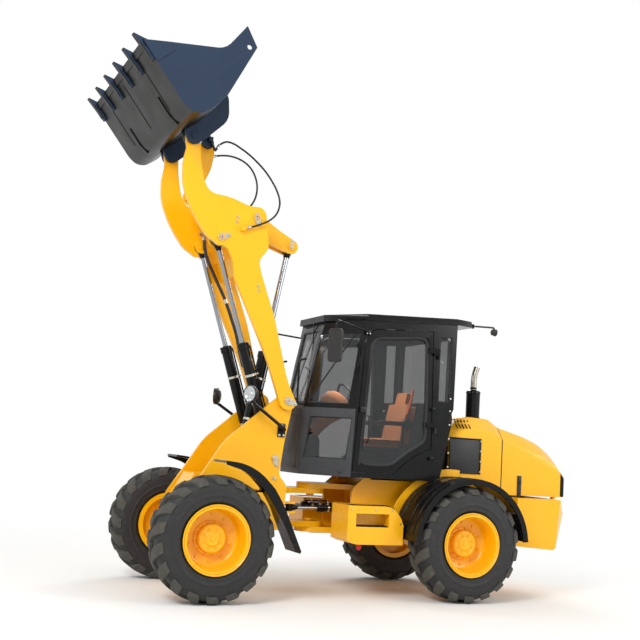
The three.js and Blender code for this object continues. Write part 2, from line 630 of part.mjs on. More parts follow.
/** Barrel with its base eye. The eye's pin lies along pinAxis. */
function barrelBody(base, eye, radius, length, rodRadius, eyeRadius, pinRadius, pinAxis) {
  const reach = pinAxis.map((c) => c * EYE_HALF_WIDTH);
  const side = (sign, scale) => base.map((c, i) => c + sign * scale * reach[i]);
  return cut(
    join(
      bar(side(-1, 1), side(1, 1), eyeRadius),
      bar(along(base, eye, eyeRadius * 0.6), along(base, eye, eyeRadius + 40), NECK_RADIUS),
      bar(along(base, eye, eyeRadius + 30), along(base, eye, length), radius),
      bar(along(base, eye, length - 70), along(base, eye, length), radius + 8)),
    bar(side(-1, 2), side(1, 2), boreFor(pinRadius)),
    bar(along(base, eye, eyeRadius + BORE_FLOOR), along(base, eye, length + 50), boreFor(rodRadius)));
}

/** Rod with its eye at the far pin. */
function rodBody(base, eye, radius, length, eyeRadius, pinRadius, pinAxis) {
  const reach = pinAxis.map((c) => c * EYE_HALF_WIDTH);
  const side = (sign, scale) => eye.map((c, i) => c + sign * scale * reach[i]);
  return cut(
    join(
      bar(side(-1, 1), side(1, 1), eyeRadius),
      bar(along(eye, base, eyeRadius * 0.7), along(eye, base, length), radius)),
    bar(side(-1, 2), side(1, 2), boreFor(pinRadius)));
}

/** Point past the end of a line between two [x, y, z] points. */
function beyond(from, to, distance) {
  const end = new THREE.Vector3(...to);
  return end.clone().sub(new THREE.Vector3(...from)).setLength(distance).add(end).toArray();
}

const ACROSS = [0, 1, 0];
const UPRIGHT = [0, 0, 1];
const sidePoint = ([x, z], y) => [x, y, z];

function addCylinders() {
  for (const [label, side] of [['left', 1], ['right', -1]]) {
    const base = sidePoint(LIFT_BASE_PIVOT, side * LIFT_CYLINDER_Y);
    const eye = sidePoint(LIFT_ROD_PIVOT, side * LIFT_CYLINDER_Y);
    place(frontBody, `lift_barrel_${label}`, barrelBody(base, eye, LIFT_BARREL_RADIUS,
      LIFT_BARREL_LENGTH, LIFT_ROD_RADIUS, 66, PIN_RADIUS, ACROSS), BLACK);
    place(frontBody, `lift_rod_${label}`, rodBody(base, eye, LIFT_ROD_RADIUS,
      LIFT_ROD_LENGTH, 62, PIN_RADIUS, ACROSS), CHROME);
    const steerBase = [STEER_BASE[0], side * STEER_BASE[1], STEER_Z];
    const steerEye = [STEER_EYE[0], side * STEER_EYE[1], STEER_Z];
    place(rearBody, `steer_barrel_${label}`, barrelBody(steerBase, steerEye, STEER_BARREL_RADIUS,
      STEER_BARREL_LENGTH, STEER_ROD_RADIUS, 42, 22, UPRIGHT), BLACK);
    place(rearBody, `steer_rod_${label}`, rodBody(steerBase, steerEye, STEER_ROD_RADIUS,
      STEER_ROD_LENGTH, 40, 22, UPRIGHT), CHROME);
  }
  const base = sidePoint(TILT_BASE_PIVOT, 0);
  const eye = sidePoint(LEVER_ROD_PIVOT, 0);
  place(frontBody, 'tilt_barrel', barrelBody(base, eye, TILT_BARREL_RADIUS, TILT_BARREL_LENGTH,
    TILT_ROD_RADIUS, 66, PIN_RADIUS, ACROSS), BLACK);
  place(frontBody, 'tilt_rod', rodBody(base, eye, TILT_ROD_RADIUS, TILT_ROD_LENGTH,
    66, PIN_RADIUS, ACROSS), CHROME);
}

// ---------------------------------------------------------------- cab
/** The cab's volume, moved in on every side by an inset. */
function cabVolume(inset) {
  const half = CAB_WIDTH / 2 - inset;
  const low = CAB_FLOOR_Z + inset;
  const slant = inset * 0.4;
  const plan = (nose, shoulder, rear, noseY) => [
    [rear + inset, half], [rear + inset, -half], [shoulder - slant, half], [shoulder - slant, -half],
    [nose - inset, noseY - slant], [nose - inset, -noseY + slant],
  ];
  const floor = plan(CAB_NOSE_X, CAB_SHOULDER_X, CAB_REAR_X + 150, CAB_NOSE_Y);
  const waist = plan(CAB_NOSE_X - 20, CAB_SHOULDER_X - 20, CAB_REAR_X, CAB_NOSE_Y);
  const topZ = (x) => THREE.MathUtils.mapLinear(x, CAB_NOSE_X, CAB_REAR_X, CAB_TOP_FRONT_Z, CAB_TOP_REAR_Z)
    - inset * 0.2;
  const top = plan(120, CAB_SHOULDER_X - 70, CAB_REAR_X - 10, CAB_NOSE_Y + 60);
  const waistRing = waist.map(([x, y]) => [x, y, CAB_WAIST_Z]);
  return join(
    hull([...floor.map(([x, y]) => [x, y, low]), ...waistRing]),
    hull([...waistRing, ...top.map(([x, y]) => [x, y, topZ(x)])]));
}

/** Door outline, grown by a margin on every side. */
function doorOutline(margin) {
  const m = margin;
  return [
    [-150 + m, 1370 - m], [-225 + m, 2640],
    ...arc([-420, 2780], 195 + m, 10, 80, 5),
    [-1090 - m, 3010 + m], [-1125 - m, 1674 - m * 0.5],
    ...arc([REAR_AXLE_X, AXLE_Z], DOOR_ARCH_RADIUS - m, 66, 46, 3),
    [-672, 1370 - m],
  ];
}

function doorWindow(margin) {
  const m = margin;
  return [
    [-230 + m, 1450 - m], [-300 + m, 2620],
    ...arc([-440, 2740], 140 + m, 12, 80, 5),
    [-1020 - m, 2935 + m], [-1055 - m, 1760 - m],
    ...arc([REAR_AXLE_X, AXLE_Z], DOOR_ARCH_RADIUS + 75 - m, 64, 50, 2), [-625, 1450 - m],
  ];
}

const sideWindow = (margin) => [
  [-1190 + margin, 2210 - margin], [-1190 + margin, 2960 + margin],
  [-1345 - margin, 2975 + margin], [-1345 - margin, 2210 - margin],
];

const reach = CAB_WIDTH / 2;
const windowTools = {
  windshield: (m) => box(0, 800, -CAB_NOSE_Y + 45 - m, CAB_NOSE_Y - 45 + m, 2110 - m, 2940 + m),
  rear_glass: (m) => box(-1800, -1300, -reach + 130 - m, reach - 130 + m, 2210 - m, 2960 + m),
};

/** Cutter for a slanted pane between the windshield and the door, on the left. */
function cornerTool(margin, z0, z1) {
  const m = margin;
  const nose = new THREE.Vector2(CAB_NOSE_X, CAB_NOSE_Y);
  const shoulder = new THREE.Vector2(CAB_SHOULDER_X, reach);
  const run = shoulder.clone().sub(nose);
  const length = run.length();
  run.normalize();
  const out = new THREE.Vector2(run.y, -run.x);
  const lean = (z1 - z0) * 0.16;
  const points = [[CORNER_PILLAR - m, -160], [CORNER_PILLAR - m, 160],
    [length - CORNER_PILLAR - 20 + m, -160], [length - CORNER_PILLAR - 20 + m, 160]];
  return hull(points.flatMap(([s, d]) => {
    const p = nose.clone().addScaledVector(run, s).addScaledVector(out, d);
    return [[p.x, p.y, z0 - m], [p.x - lean, p.y, z1 + m]];
  }));
}

/** Room for the fender in the cab's lower rear corner, on the left. */
const wheelArchTool = () => crossBar([REAR_AXLE_X, AXLE_Z], HOOD_HALF_WIDTH + 15, 1000,
  REAR_FENDER_RADIUS + FENDER_SHEET + 12, 48);

function cabFrameBody() {
  const walls = cut(cabVolume(0), cabVolume(CAB_WALL), both(wheelArchTool()));
  const doorHole = sidePlate(doorOutline(PANEL_GAP), 300, reach + 200);
  const sideHole = sidePlate(sideWindow(0), 300, reach + 200);
  const openings = [
    doorHole, mirrored(doorHole), sideHole, mirrored(sideHole),
    windowTools.windshield(0), windowTools.rear_glass(0),
    cornerTool(0, 2110, 2900), mirrored(cornerTool(0, 2110, 2900)),
    cornerTool(0, 1500, 1960), mirrored(cornerTool(0, 1500, 1960)),
  ];
  const hinge = (z) => join(
    bar([DOOR_HINGE_X, reach + 24, z], [DOOR_HINGE_X, reach + 24, z + 60], DOOR_HINGE_RADIUS, 16),
    box(DOOR_HINGE_X - 15, DOOR_HINGE_X + 15, reach - 10, reach + 24, z, z + 60));
  return join(cut(walls, ...openings), both(join(hinge(1850), hinge(2700))));
}

const doorHingeKnuckle = (z) => join(
  bar([DOOR_HINGE_X, reach + 24, z], [DOOR_HINGE_X, reach + 24, z + 60], DOOR_HINGE_RADIUS, 16),
  box(DOOR_HINGE_X, DOOR_HINGE_X + 130, reach + 12, reach + 36, z, z + 60),
  box(DOOR_HINGE_X + 85, DOOR_HINGE_X + 130, reach - 8, reach + 36, z, z + 60));

function doorBody() {
  const panel = cut(cabVolume(0), cabVolume(CAB_WALL))
    .intersect(sidePlate(doorOutline(0), 400, reach + 200));
  return join(
    cut(panel, sidePlate(doorWindow(0), 300, reach + 200)),
    doorHingeKnuckle(1850 + 60 + FACE_GAP), doorHingeKnuckle(2700 + 60 + FACE_GAP));
}

const glassSheet = cut(cabVolume(GLASS_INSET), cabVolume(GLASS_INSET + GLASS));

function addCab() {
  place(rearBody, 'cab_frame', cabFrameBody(), BLACK);
  const slope = (CAB_TOP_REAR_Z - CAB_TOP_FRONT_Z) / (CAB_NOSE_X - CAB_REAR_X);
  const roofZ = (x) => CAB_TOP_FRONT_Z + (CAB_NOSE_X - x) * slope + SEAT_GAP;
  const o = ROOF_OVERHANG;
  const roofPlan = [
    [CAB_REAR_X - 340, 520], [CAB_REAR_X - 10 - o, reach + o], [CAB_SHOULDER_X - 120, reach + o],
    [150, CAB_NOSE_Y + 90],
  ].flatMap(([x, y]) => [[x, y], [x, -y]]);
  place(rearBody, 'cab_roof', hull(roofPlan.flatMap(([x, y]) =>
    [[x, y, roofZ(x)], [x * 0.985, y * 0.97, roofZ(x) + ROOF_THICKNESS]])), BLACK);
  const m = -SEAT_GAP;
  const pane = (tool) => glassSheet.intersect(tool);
  place(rearBody, 'windshield', pane(windowTools.windshield(m)), GLASS_TINT);
  place(rearBody, 'rear_glass', pane(windowTools.rear_glass(m)), GLASS_TINT);
  const sideTool = sidePlate(sideWindow(m), 300, reach + 200);
  const doorTool = sidePlate(doorWindow(m), 300, reach + 200);
  const panes = {
    side_glass: pane(sideTool), corner_glass: pane(cornerTool(m, 2110, 2900)),
    lower_glass: pane(cornerTool(m, 1500, 1960)), door_glass: pane(doorTool), door: doorBody(),
  };
  for (const [name, body] of Object.entries(panes)) {
    const material = name === 'door' ? BLACK : GLASS_TINT;
    place(rearBody, `${name}_left`, body, material);
    place(rearBody, `${name}_right`, mirrored(body), material);
  }
  const deck = CAB_FLOOR_Z + CAB_WALL + SEAT_GAP;
  place(rearBody, 'seat', join(
    box(-1000, -480, -250, 250, deck + 260, deck + 400),
    sidePlate([[-900, deck + 380], [-1010, deck + 900], [-1110, deck + 900], [-1020, deck + 380]],
      -240, 240),
    box(-900, -600, -180, 180, deck, deck + 280)), SEAT_CLOTH);
  place(rearBody, 'steering_console', join(
    box(0, 200, -140, 140, deck, deck + 420),
    bar([90, 0, deck + 380], [-120, 0, deck + 660], 28, 12),
    bar([-110, 0, deck + 645], [-126, 0, deck + 667], 190, 20)), BLACK);
}

// ---------------------------------------------------------------- hood, cowl, counterweight
/** Solid between two sections of the engine cover, each [x, top z, top half width]. */
function coverSection([x0, z0, w0], [x1, z1, w1], inset) {
  const half = HOOD_HALF_WIDTH - inset;
  const ring = (x, z, w) => [
    [x, half, HOOD_LOW_Z - inset], [x, half, z - 150], [x, w - inset * 0.5, z - inset],
  ].flatMap(([px, y, pz]) => [[px, y, pz], [px, -y, pz]]);
  return hull([...ring(x0, z0, w0), ...ring(x1, z1, w1)]);
}

const COWL_SECTIONS = [
  [COWL_FRONT_X, 1875, 470], [COWL_FRONT_X - 200, 2060, 400], [COWL_FRONT_X - 310, 2080, 400],
  [COWL_FRONT_X - 610, 2070, 400], [HOOD_FRONT_X + 6, 1985, 430],
];
const HOOD_SECTIONS = [
  [HOOD_FRONT_X - 6, 1975, 430], [HOOD_FRONT_X - 380, 1885, 420], [HOOD_FRONT_X - 620, 1800, 400],
  [HOOD_FRONT_X - 800, 1695, 370], [HOOD_REAR_X, 1560, 350],
];

function cover(sections, inset) {
  return join(...sections.slice(1).map((section, i) => coverSection(sections[i], section, inset)));
}

function counterweightBody() {
  const back = COUNTERWEIGHT_REAR_X;
  const half = COUNTERWEIGHT_HALF_WIDTH;
  const top = HOOD_LOW_Z - 25;
  const block = hull([
    [COUNTERWEIGHT_FRONT_X, half, 600], [COUNTERWEIGHT_FRONT_X, half, top],
    [back + 292, half - 20, 560], [back + 232, half - 20, top], [back + 102, 520, top - 40],
    [back + 262, 480, 560], [back, 420, 980],
  ].flatMap(([x, y, z]) => [[x, y, z], [x, -y, z]]));
  const seat = REAR_RAIL_Y + REAR_RAIL + SEAT_GAP;
  const lug = join(
    tag(HOOD_HINGE, 20, offset(HOOD_HINGE, 10, -90), 30, 300, 330, 4),
    crossBar(HOOD_HINGE, 310, 366, 11, 12));
  return join(cut(block, box(REAR_FRAME_BACK_X - SEAT_GAP, 0, -seat, seat, 0, 3000)), both(lug));
}

function addEngineBay() {
  place(rearBody, 'cowl', cut(cover(COWL_SECTIONS, 0),
    cover([[COWL_FRONT_X + 50, 1800, 470], ...COWL_SECTIONS.slice(1, -1), [HOOD_FRONT_X - 50, 1985, 430]],
      HOOD_WALL)), YELLOW);
  const rear = [HOOD_REAR_X + HOOD_WALL, 1560, 350];
  const shell = cut(cover(HOOD_SECTIONS, 0),
    cover([[HOOD_FRONT_X + 50, 1975, 430], ...HOOD_SECTIONS.slice(1, -1), rear], HOOD_WALL));
  const hingeArm = cut(
    join(tag(HOOD_HINGE, 20, offset(HOOD_HINGE, 48, 25), 18, 330 + FACE_GAP, 360, 4)),
    crossBar(HOOD_HINGE, 300, 400, boreFor(11, 12), 12));
  place(rearBody, 'hood', join(shell, both(hingeArm)), YELLOW);
  place(rearBody, 'engine_block', box(HOOD_FRONT_X - 140, COWL_FRONT_X - 110, -280, 280,
    AXLE_MOUNT_Z + 30 + SEAT_GAP, 1650), IRON);
  const pipeX = COWL_FRONT_X - 550;
  place(rearBody, 'counterweight', counterweightBody(), YELLOW);
  place(rearBody, 'exhaust', join(
    bar([pipeX, 150, 2075 + SEAT_GAP], [pipeX, 150, 2410], 85),
    bar([pipeX, 150, 2400], [pipeX, 150, 2600], 38, 16),
    bar([pipeX, 150, 2580], [pipeX - 40, 150, 2710], 38, 16)), BLACK);
}

// ---------------------------------------------------------------- fenders, steps, lamps, mirrors
function rearFenderBody() {
  const centre = [REAR_AXLE_X, AXLE_Z];
  const r = REAR_FENDER_RADIUS;
  const band = sidePlate([...arc(centre, r + FENDER_SHEET, 2, 176, 20), ...arc(centre, r, 176, 2, 20)],
    HOOD_HALF_WIDTH + SEAT_GAP + 30, FENDER_OUTER_Y);
  const lip = sidePlate([...arc(centre, r + FENDER_SHEET, 2, 176, 20),
    ...arc(centre, r - FENDER_LIP, 176, 2, 20)], FENDER_OUTER_Y - FENDER_SHEET, FENDER_OUTER_Y);
  const bracket = box(REAR_AXLE_X - 60, REAR_AXLE_X + 60, REAR_RAIL_Y + REAR_RAIL + SEAT_GAP,
    HOOD_HALF_WIDTH + 40, AXLE_Z + r - 220, AXLE_Z + r - 200);
  const post = box(REAR_AXLE_X - 60, REAR_AXLE_X + 60, HOOD_HALF_WIDTH + SEAT_GAP + 31, HOOD_HALF_WIDTH + 55,
    AXLE_Z + r - 220, AXLE_Z + r + 5);
  return join(band, lip, bracket, post);
}

function frontFenderBody() {
  const fromAxle = ([x, z]) => [FRONT_AXLE_X + x, z];
  const line = [
    [-40, 1430], [-230, 1412], [-420, 1322], [-580, 1165], [-690, 1000], [-790, 790], [-905, 545],
  ].map(fromAxle);
  const inward = [12, -FENDER_SHEET];
  const outline = [...line, ...line.map((p) => offset(p, ...inward)).reverse()];
  const inner = TRACK / 2 - TYRE_WIDTH / 2 - 10;
  const band = sidePlate(outline, inner, FENDER_OUTER_Y);
  const lipEdge = [
    [-840, 545], [-720, 770], [-610, 960], [-510, 1100], [-380, 1240], [-220, 1340], [-40, 1390],
  ].map(fromAxle);
  const lip = sidePlate([...line, ...lipEdge], FENDER_OUTER_Y - FENDER_SHEET, FENDER_OUTER_Y);
  const bracket = box(FRONT_AXLE_X - 600, FRONT_AXLE_X - 480,
    TOWER_PLATE_INNER_Y + TOWER_PLATE + SEAT_GAP, inner + 60, 1110, 1130);
  const post = box(FRONT_AXLE_X - 585, FRONT_AXLE_X - 555, inner + 1, inner + 60, 1110, 1165);
  return join(band, lip, bracket, post);
}

function stepBody() {
  const inner = REAR_RAIL_Y + REAR_RAIL + SEAT_GAP;
  return cut(
    sidePlate([[-60, 1015], [-60, 640], [-150, 600], [-742, 600], [-742, 860], [-600, 1015]],
      inner, STEP_OUTER_Y),
    box(-560, -160, STEP_OUTER_Y - 160, STEP_OUTER_Y + 50, 790, 930));
}

function lampBody() {
  const plateY = TOWER_PLATE_INNER_Y + TOWER_PLATE + SEAT_GAP;
  return join(
    box(560, 650, plateY, plateY + 15, 1700, 1850),
    bar([605, plateY + 10, 1780], [605, 540, 1780], 20, 8),
    bar([600, 535, 1775], [1025, LAMP_Y, LAMP_Z - 50], 20, 8),
    bar([1010, LAMP_Y, LAMP_Z], [1080, LAMP_Y, LAMP_Z], LAMP_RADIUS, 16));
}

function mirrorBody() {
  const wall = reach + SEAT_GAP;
  return join(
    box(240, 275, 875, 1055, 2535, 2900),
    box(-272, -215, wall, wall + 30, 2900, 2945),
    bar([-240, wall + 20, 2925], [262, 965, 2990], 11, 8),
    bar([262, 965, 3000], [262, 965, 2890], 12, 8));
}

// ---------------------------------------------------------------- assembly
place(frontBody, 'front_frame', frontFrameBody(), YELLOW);
place(frontBody, 'front_axle', axleBody(FRONT_AXLE_X, TOWER_PLATE_INNER_Y, TOWER_PLATE), YELLOW);
place(rearBody, 'rear_frame', rearFrameBody(), YELLOW);
place(rearBody, 'rear_axle', axleBody(REAR_AXLE_X, REAR_RAIL_Y, REAR_RAIL), YELLOW);
place(frontBody, 'boom', boomBody(), YELLOW);
place(frontBody, 'bellcrank', bellcrankBody(), YELLOW);
place(frontBody, 'tilt_link', tiltLinkBody(), YELLOW);
place(frontBody, 'bucket', bucketBody(), SLATE);
place(frontBody, 'hose_a', hoseBody(HOSE_A), RUBBER);
place(frontBody, 'hose_b', hoseBody(HOSE_B), RUBBER);
addCylinders();
addCab();
addEngineBay();
for (const [label, copy] of [['left', (body) => body], ['right', mirrored]]) {
  place(rearBody, `rear_fender_${label}`, copy(rearFenderBody()), BLACK);
  place(frontBody, `front_fender_${label}`, copy(frontFenderBody()), BLACK);
  place(rearBody, `step_${label}`, copy(stepBody()), YELLOW);
  place(frontBody, `work_lamp_${label}`, copy(lampBody()), BLACK);
  place(rearBody, `mirror_${label}`, copy(mirrorBody()), BLACK);
}
for (const side of [1, -1]) {
  addWheel(frontBody, 'front', FRONT_AXLE_X, side);
  addWheel(rearBody, 'rear', REAR_AXLE_X, side);
}

// The origin stands on the ground, midway between the ends of the loader.
const extent = new THREE.Box3().setFromObject(loader);
loader.position.x = -(extent.min.x + extent.max.x) / 2;

export default loader;
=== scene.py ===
"""Dresses an articulated wheel loader: finishes, tyres, cab, bucket, hoses and a plain studio.

Sizes are millimetres from the middle of the wheelbase unless a name says otherwise,
with +X forward, +Y left and +Z up. Meshes are written in metres, in the loader's own frame.
"""
import math

import bmesh
import bpy
from bpy.props import FloatProperty, FloatVectorProperty, IntProperty, PointerProperty
from mathutils import Matrix, Vector


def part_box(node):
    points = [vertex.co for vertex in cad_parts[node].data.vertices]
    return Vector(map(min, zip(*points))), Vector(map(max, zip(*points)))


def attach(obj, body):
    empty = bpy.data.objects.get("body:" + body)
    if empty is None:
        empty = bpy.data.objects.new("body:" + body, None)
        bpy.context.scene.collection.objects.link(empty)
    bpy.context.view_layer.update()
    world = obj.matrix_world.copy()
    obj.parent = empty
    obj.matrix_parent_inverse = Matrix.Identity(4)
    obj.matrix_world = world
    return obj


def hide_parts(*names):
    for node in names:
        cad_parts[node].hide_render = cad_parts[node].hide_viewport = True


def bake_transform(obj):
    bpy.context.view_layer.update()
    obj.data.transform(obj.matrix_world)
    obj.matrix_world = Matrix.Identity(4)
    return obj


bl_info = {
    "name": "Wheel Loader",
    "version": (1, 0, 0),
    "blender": (4, 5, 0),
    "location": "View3D > Sidebar > Loader",
    "description": "Builds the surfaces, small parts and studio of an articulated wheel loader",
    "category": "Add Mesh",
}

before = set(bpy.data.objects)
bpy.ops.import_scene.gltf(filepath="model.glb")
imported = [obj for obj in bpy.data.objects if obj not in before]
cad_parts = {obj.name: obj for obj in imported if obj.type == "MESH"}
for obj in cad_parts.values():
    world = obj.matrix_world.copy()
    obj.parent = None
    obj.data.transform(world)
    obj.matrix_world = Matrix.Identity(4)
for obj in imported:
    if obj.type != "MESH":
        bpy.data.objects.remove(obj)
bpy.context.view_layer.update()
MM = 0.001


# ------------------------------------------------------------------ places
def middle(node):
    """Centre of a CAD node's box, in metres."""
    low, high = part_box(node)
    return (low + high) / 2


FRONT_TYRE, REAR_TYRE = middle("tyre_front_left"), middle("tyre_rear_left")
MIDDLE_X = (FRONT_TYRE.x + REAR_TYRE.x) / 2
TO_MIDDLE = Vector((MIDDLE_X, 0, 0))
FRONT_AXLE_X = (FRONT_TYRE.x - MIDDLE_X) / MM
REAR_AXLE_X = -FRONT_AXLE_X
AXLE_Z = FRONT_TYRE.z / MM
HALF_TRACK = FRONT_TYRE.y / MM
SIDES = (("left", 1), ("right", -1))

# Lift arms and their levers: pivots are side places (x, z).
ARM_OUTER_Y = 475.0
ARM_INNER_Y = 420.0
BOOM_PIVOT = (570, 2100)
BUCKET_PIVOT = (1868, 4872)
LIFT_ROD_PIVOT = (1472, 3817)
LEVER_PIVOT = (1082, 4095)
LEVER_ROD_PIVOT = (500, 3897)
LEVER_LINK_PIVOT = (1705, 4325)
LEVER_FACE_Y = 86.0
PIN_RADIUS = 35.0

# Cylinders: base pivots on the frames.
LIFT_BASE_PIVOT = (656, 1466)
TILT_BASE_PIVOT = (900, 1550)
LIFT_CYLINDER_Y = 295.0
STEER_BASE = (-420, 200)
STEER_EYE = (400, 270)
STEER_Z = 935.0
TOWER_OUTER_Y = 411.0

# Bucket, in its own frame: x along the floor to the teeth, z square to it.
BUCKET_ROLL = math.radians(50.9)
BUCKET_HALF = 1190.0
BUCKET_UNDERSIDE = -186.0
TOOTH_TIP_X = 1002.0
TEETH = 6

# Cab, cowl, hood and steps.
CAB_HALF = 700.0
DOOR_SKIN_Y = 724.0
DECK_Z = 1358.0
NOSE_TOP_Z = 2080.0
COWL_HALF = 560.0
HOOD_BACK_X = -3089.0
EXHAUST_X, EXHAUST_Y = -2000.0, 150.0
STEP_FACE_Y = 850.0


def across(point, y):
    """A side point (x, z) at a distance y from the middle plane."""
    return Vector((point[0], y, point[1]))


def in_bucket(x, y, z):
    """A point of the bucket's own frame, where z is square to its floor."""
    cos, sin = math.cos(BUCKET_ROLL), math.sin(BUCKET_ROLL)
    return Vector((BUCKET_PIVOT[0] + x * cos - z * sin, y, BUCKET_PIVOT[1] + x * sin + z * cos))


# ------------------------------------------------------------------ colours
def linear(code):
    """Linear RGB of an sRGB hex colour."""
    parts = [int(code[i:i + 2], 16) / 255 for i in (1, 3, 5)]
    return tuple(c / 12.92 if c <= 0.04045 else ((c + 0.055) / 1.055) ** 2.4 for c in parts)


def scaled(tone, share):
    """A colour made darker or lighter by a share."""
    return tuple(c * share for c in tone)


def colour(name, about, code):
    """A colour that a user may change."""
    return FloatVectorProperty(name=name, description=about, subtype="COLOR", size=3, min=0, max=1,
                               default=linear(code))


def length(name, about, default):
    """A length that a user may change, in metres."""
    return FloatProperty(name=name, description=about, default=default, min=0, unit="LENGTH")


class LoaderColours(bpy.types.PropertyGroup):
    """Colours of the loader's finishes."""
    yellow: colour("Yellow enamel", "Frames, arms, hood and rims", "#F8B404")
    # The yellow dirt colour tints faint random patches as dirt, and it also paints the shade in closed
    # corners.
    yellow_dirt_and_shade: colour("Yellow dirt", "Painted shade in the corners of the yellow enamel, and faint grime", "#8F5A08")
    black: colour("Black enamel", "Cab, fenders and cylinder barrels", "#0C0D0E")
    slate: colour("Slate enamel", "Bucket sides", "#2B384B")
    # The bucket floor colour is the underside's dark enamel with painted shade in it, for the faces that look
    # down and back.
    bucket_underside_shade: colour("Bucket floor", "Dull enamel under the bucket", "#151512")
    rubber: colour("Tyre rubber", "Carcass and side walls", "#1A1B1C")
    tread_dust: colour("Tread dust", "Dust on the lug faces", "#403F3A")
    seat: colour("Seat cloth", "Woven seat cover", "#C4763A")
    glass: colour("Glass", "Tint of the safety glass", "#0B1214")


class LoaderSizes(bpy.types.PropertyGroup):
    """Sizes that a user would change."""
    edge: length("Plate edge", "Rounding of cut plate edges, in metres", 0.004)
    hose: length("Hose", "Diameter of the bucket hoses, in metres", 0.022)
    lug_depth: length("Lug depth", "Height of the tyre lugs, in metres", 0.030)
    lugs: IntProperty(name="Lugs", description="Lugs around one side of a tyre", default=18, min=8)


def sizes():
    """The sizes as the user has set them."""
    return bpy.context.scene.loader_sizes


# ------------------------------------------------------------------ materials
PRODUCT = {"operation": "MULTIPLY", "use_clamp": True}
DARK = linear("#070707")
MUD = linear("#7A6244")
PALE_DUST = linear("#B9A98A")
GREY_DUST = linear("#8D8676")
EARTH_DUST = linear("#77705F")
ROAD_DUST = linear("#8C8270")
SCRATCH_MM = 8
SCRATCH_STRETCH = 14


def add_node(tree, kind, settings=None, links=None, output=0):
    """Adds a node, sets its properties and sockets, links its inputs and gives one of its outputs."""
    node = tree.nodes.new(kind)
    for name, value in (settings or {}).items():
        if isinstance(name, int) or name in node.inputs:
            node.inputs[name].default_value = value
        else:
            setattr(node, name, value)
    for name, source in (links or {}).items():
        tree.links.new(source, node.inputs[name])
    return node.outputs[output]


def new_material(name, settings):
    """A material with its shader's own sockets set, with its tree and its shader."""
    material = bpy.data.materials.new(name)
    material.use_nodes = True
    shader = material.node_tree.nodes["Principled BSDF"]
    for socket, value in settings.items():
        shader.inputs[socket].default_value = value
    return material, material.node_tree, shader


def clouds(tree, millimetres, detail, offset=(0, 0, 0)):
    """Cloudy noise on object coordinates, with clouds about so many millimetres wide."""
    place = add_node(tree, "ShaderNodeTexCoord", output="Object")
    place = add_node(tree, "ShaderNodeMapping", {"Location": offset}, {"Vector": place})
    return add_node(tree, "ShaderNodeTexNoise", {"Scale": 1 / (millimetres * MM), "Detail": detail},
                    {"Vector": place}, "Fac")


def span(low, high, start=0.0, end=1.0):
    """Settings that turn low..high into start..end."""
    return {"From Min": low, "From Max": high, "To Min": start, "To Max": end}


def patches(tree, millimetres, detail, *limits, offset=(0, 0, 0)):
    """Clouds whose low..high become start..end."""
    source = clouds(tree, millimetres, detail, offset)
    return add_node(tree, "ShaderNodeMapRange", span(*limits), {"Value": source})


def coats(tree, shader, base, *layers):
    """Base colour under layers, each a cover from 0 to 1 and the colour that it lays on what is below."""
    below = None
    for cover, tone in layers:
        links = {0: cover} if below is None else {0: cover, 6: below}
        below = add_node(tree, "ShaderNodeMix", {"data_type": "RGBA", 6: (*base, 1), 7: (*tone, 1)}, links, 2)
    tree.links.new(below, shader.inputs["Base Color"])


def uneven_gloss(tree, shader, millimetres, detail, *limits):
    """Roughness that wanders in patches, as wiping and weather leave it."""
    tree.links.new(patches(tree, millimetres, detail, *limits), shader.inputs["Roughness"])


def grain(tree, shader, millimetres, detail, strength, depth_mm=0.5):
    """Fine relief in grains about so many millimetres wide."""
    normal = add_node(tree, "ShaderNodeBump", {"Strength": strength, "Distance": depth_mm * MM},
                      {"Height": clouds(tree, millimetres, detail)})
    tree.links.new(normal, shader.inputs["Normal"])


def settled_dust(tree, millimetres, low, amount):
    """Dust in patches on the faces that look up."""
    normal = add_node(tree, "ShaderNodeNewGeometry", output="Normal")
    upward = add_node(tree, "ShaderNodeSeparateXYZ", links={"Vector": normal}, output="Z")
    facing_up = add_node(tree, "ShaderNodeMapRange", span(0.35, 0.95), {"Value": upward})
    cover = patches(tree, millimetres, 5, low, 0.8, 0.0, amount)
    return add_node(tree, "ShaderNodeMath", PRODUCT, {0: facing_up, 1: cover})


def painted_corner_shade(tree, reach_mm=60):
    """Painted shade in closed corners, found by ambient occlusion and broken into patches."""
    reach = {"samples": 4, "Distance": reach_mm * MM}
    open_air = add_node(tree, "ShaderNodeAmbientOcclusion", reach, output="AO")
    closed = add_node(tree, "ShaderNodeMapRange", span(0.75, 0.35), {"Value": open_air})
    cover = patches(tree, 90, 5, 0.40, 0.75, 0.0, 0.50)
    return add_node(tree, "ShaderNodeMath", PRODUCT, {0: closed, 1: cover})


def mud_splash(tree):
    """Thin mud on what is near the ground: full at 0.35 m and gone at 1.3 m."""
    place = add_node(tree, "ShaderNodeTexCoord", output="Object")
    height = add_node(tree, "ShaderNodeSeparateXYZ", links={"Vector": place}, output="Z")
    low = add_node(tree, "ShaderNodeMapRange", span(1.3, 0.35), {"Value": height})
    cover = patches(tree, 60, 6, 0.52, 0.72, 0.0, 0.12, offset=(3, 1, 2))
    return add_node(tree, "ShaderNodeMath", PRODUCT, {0: low, 1: cover})


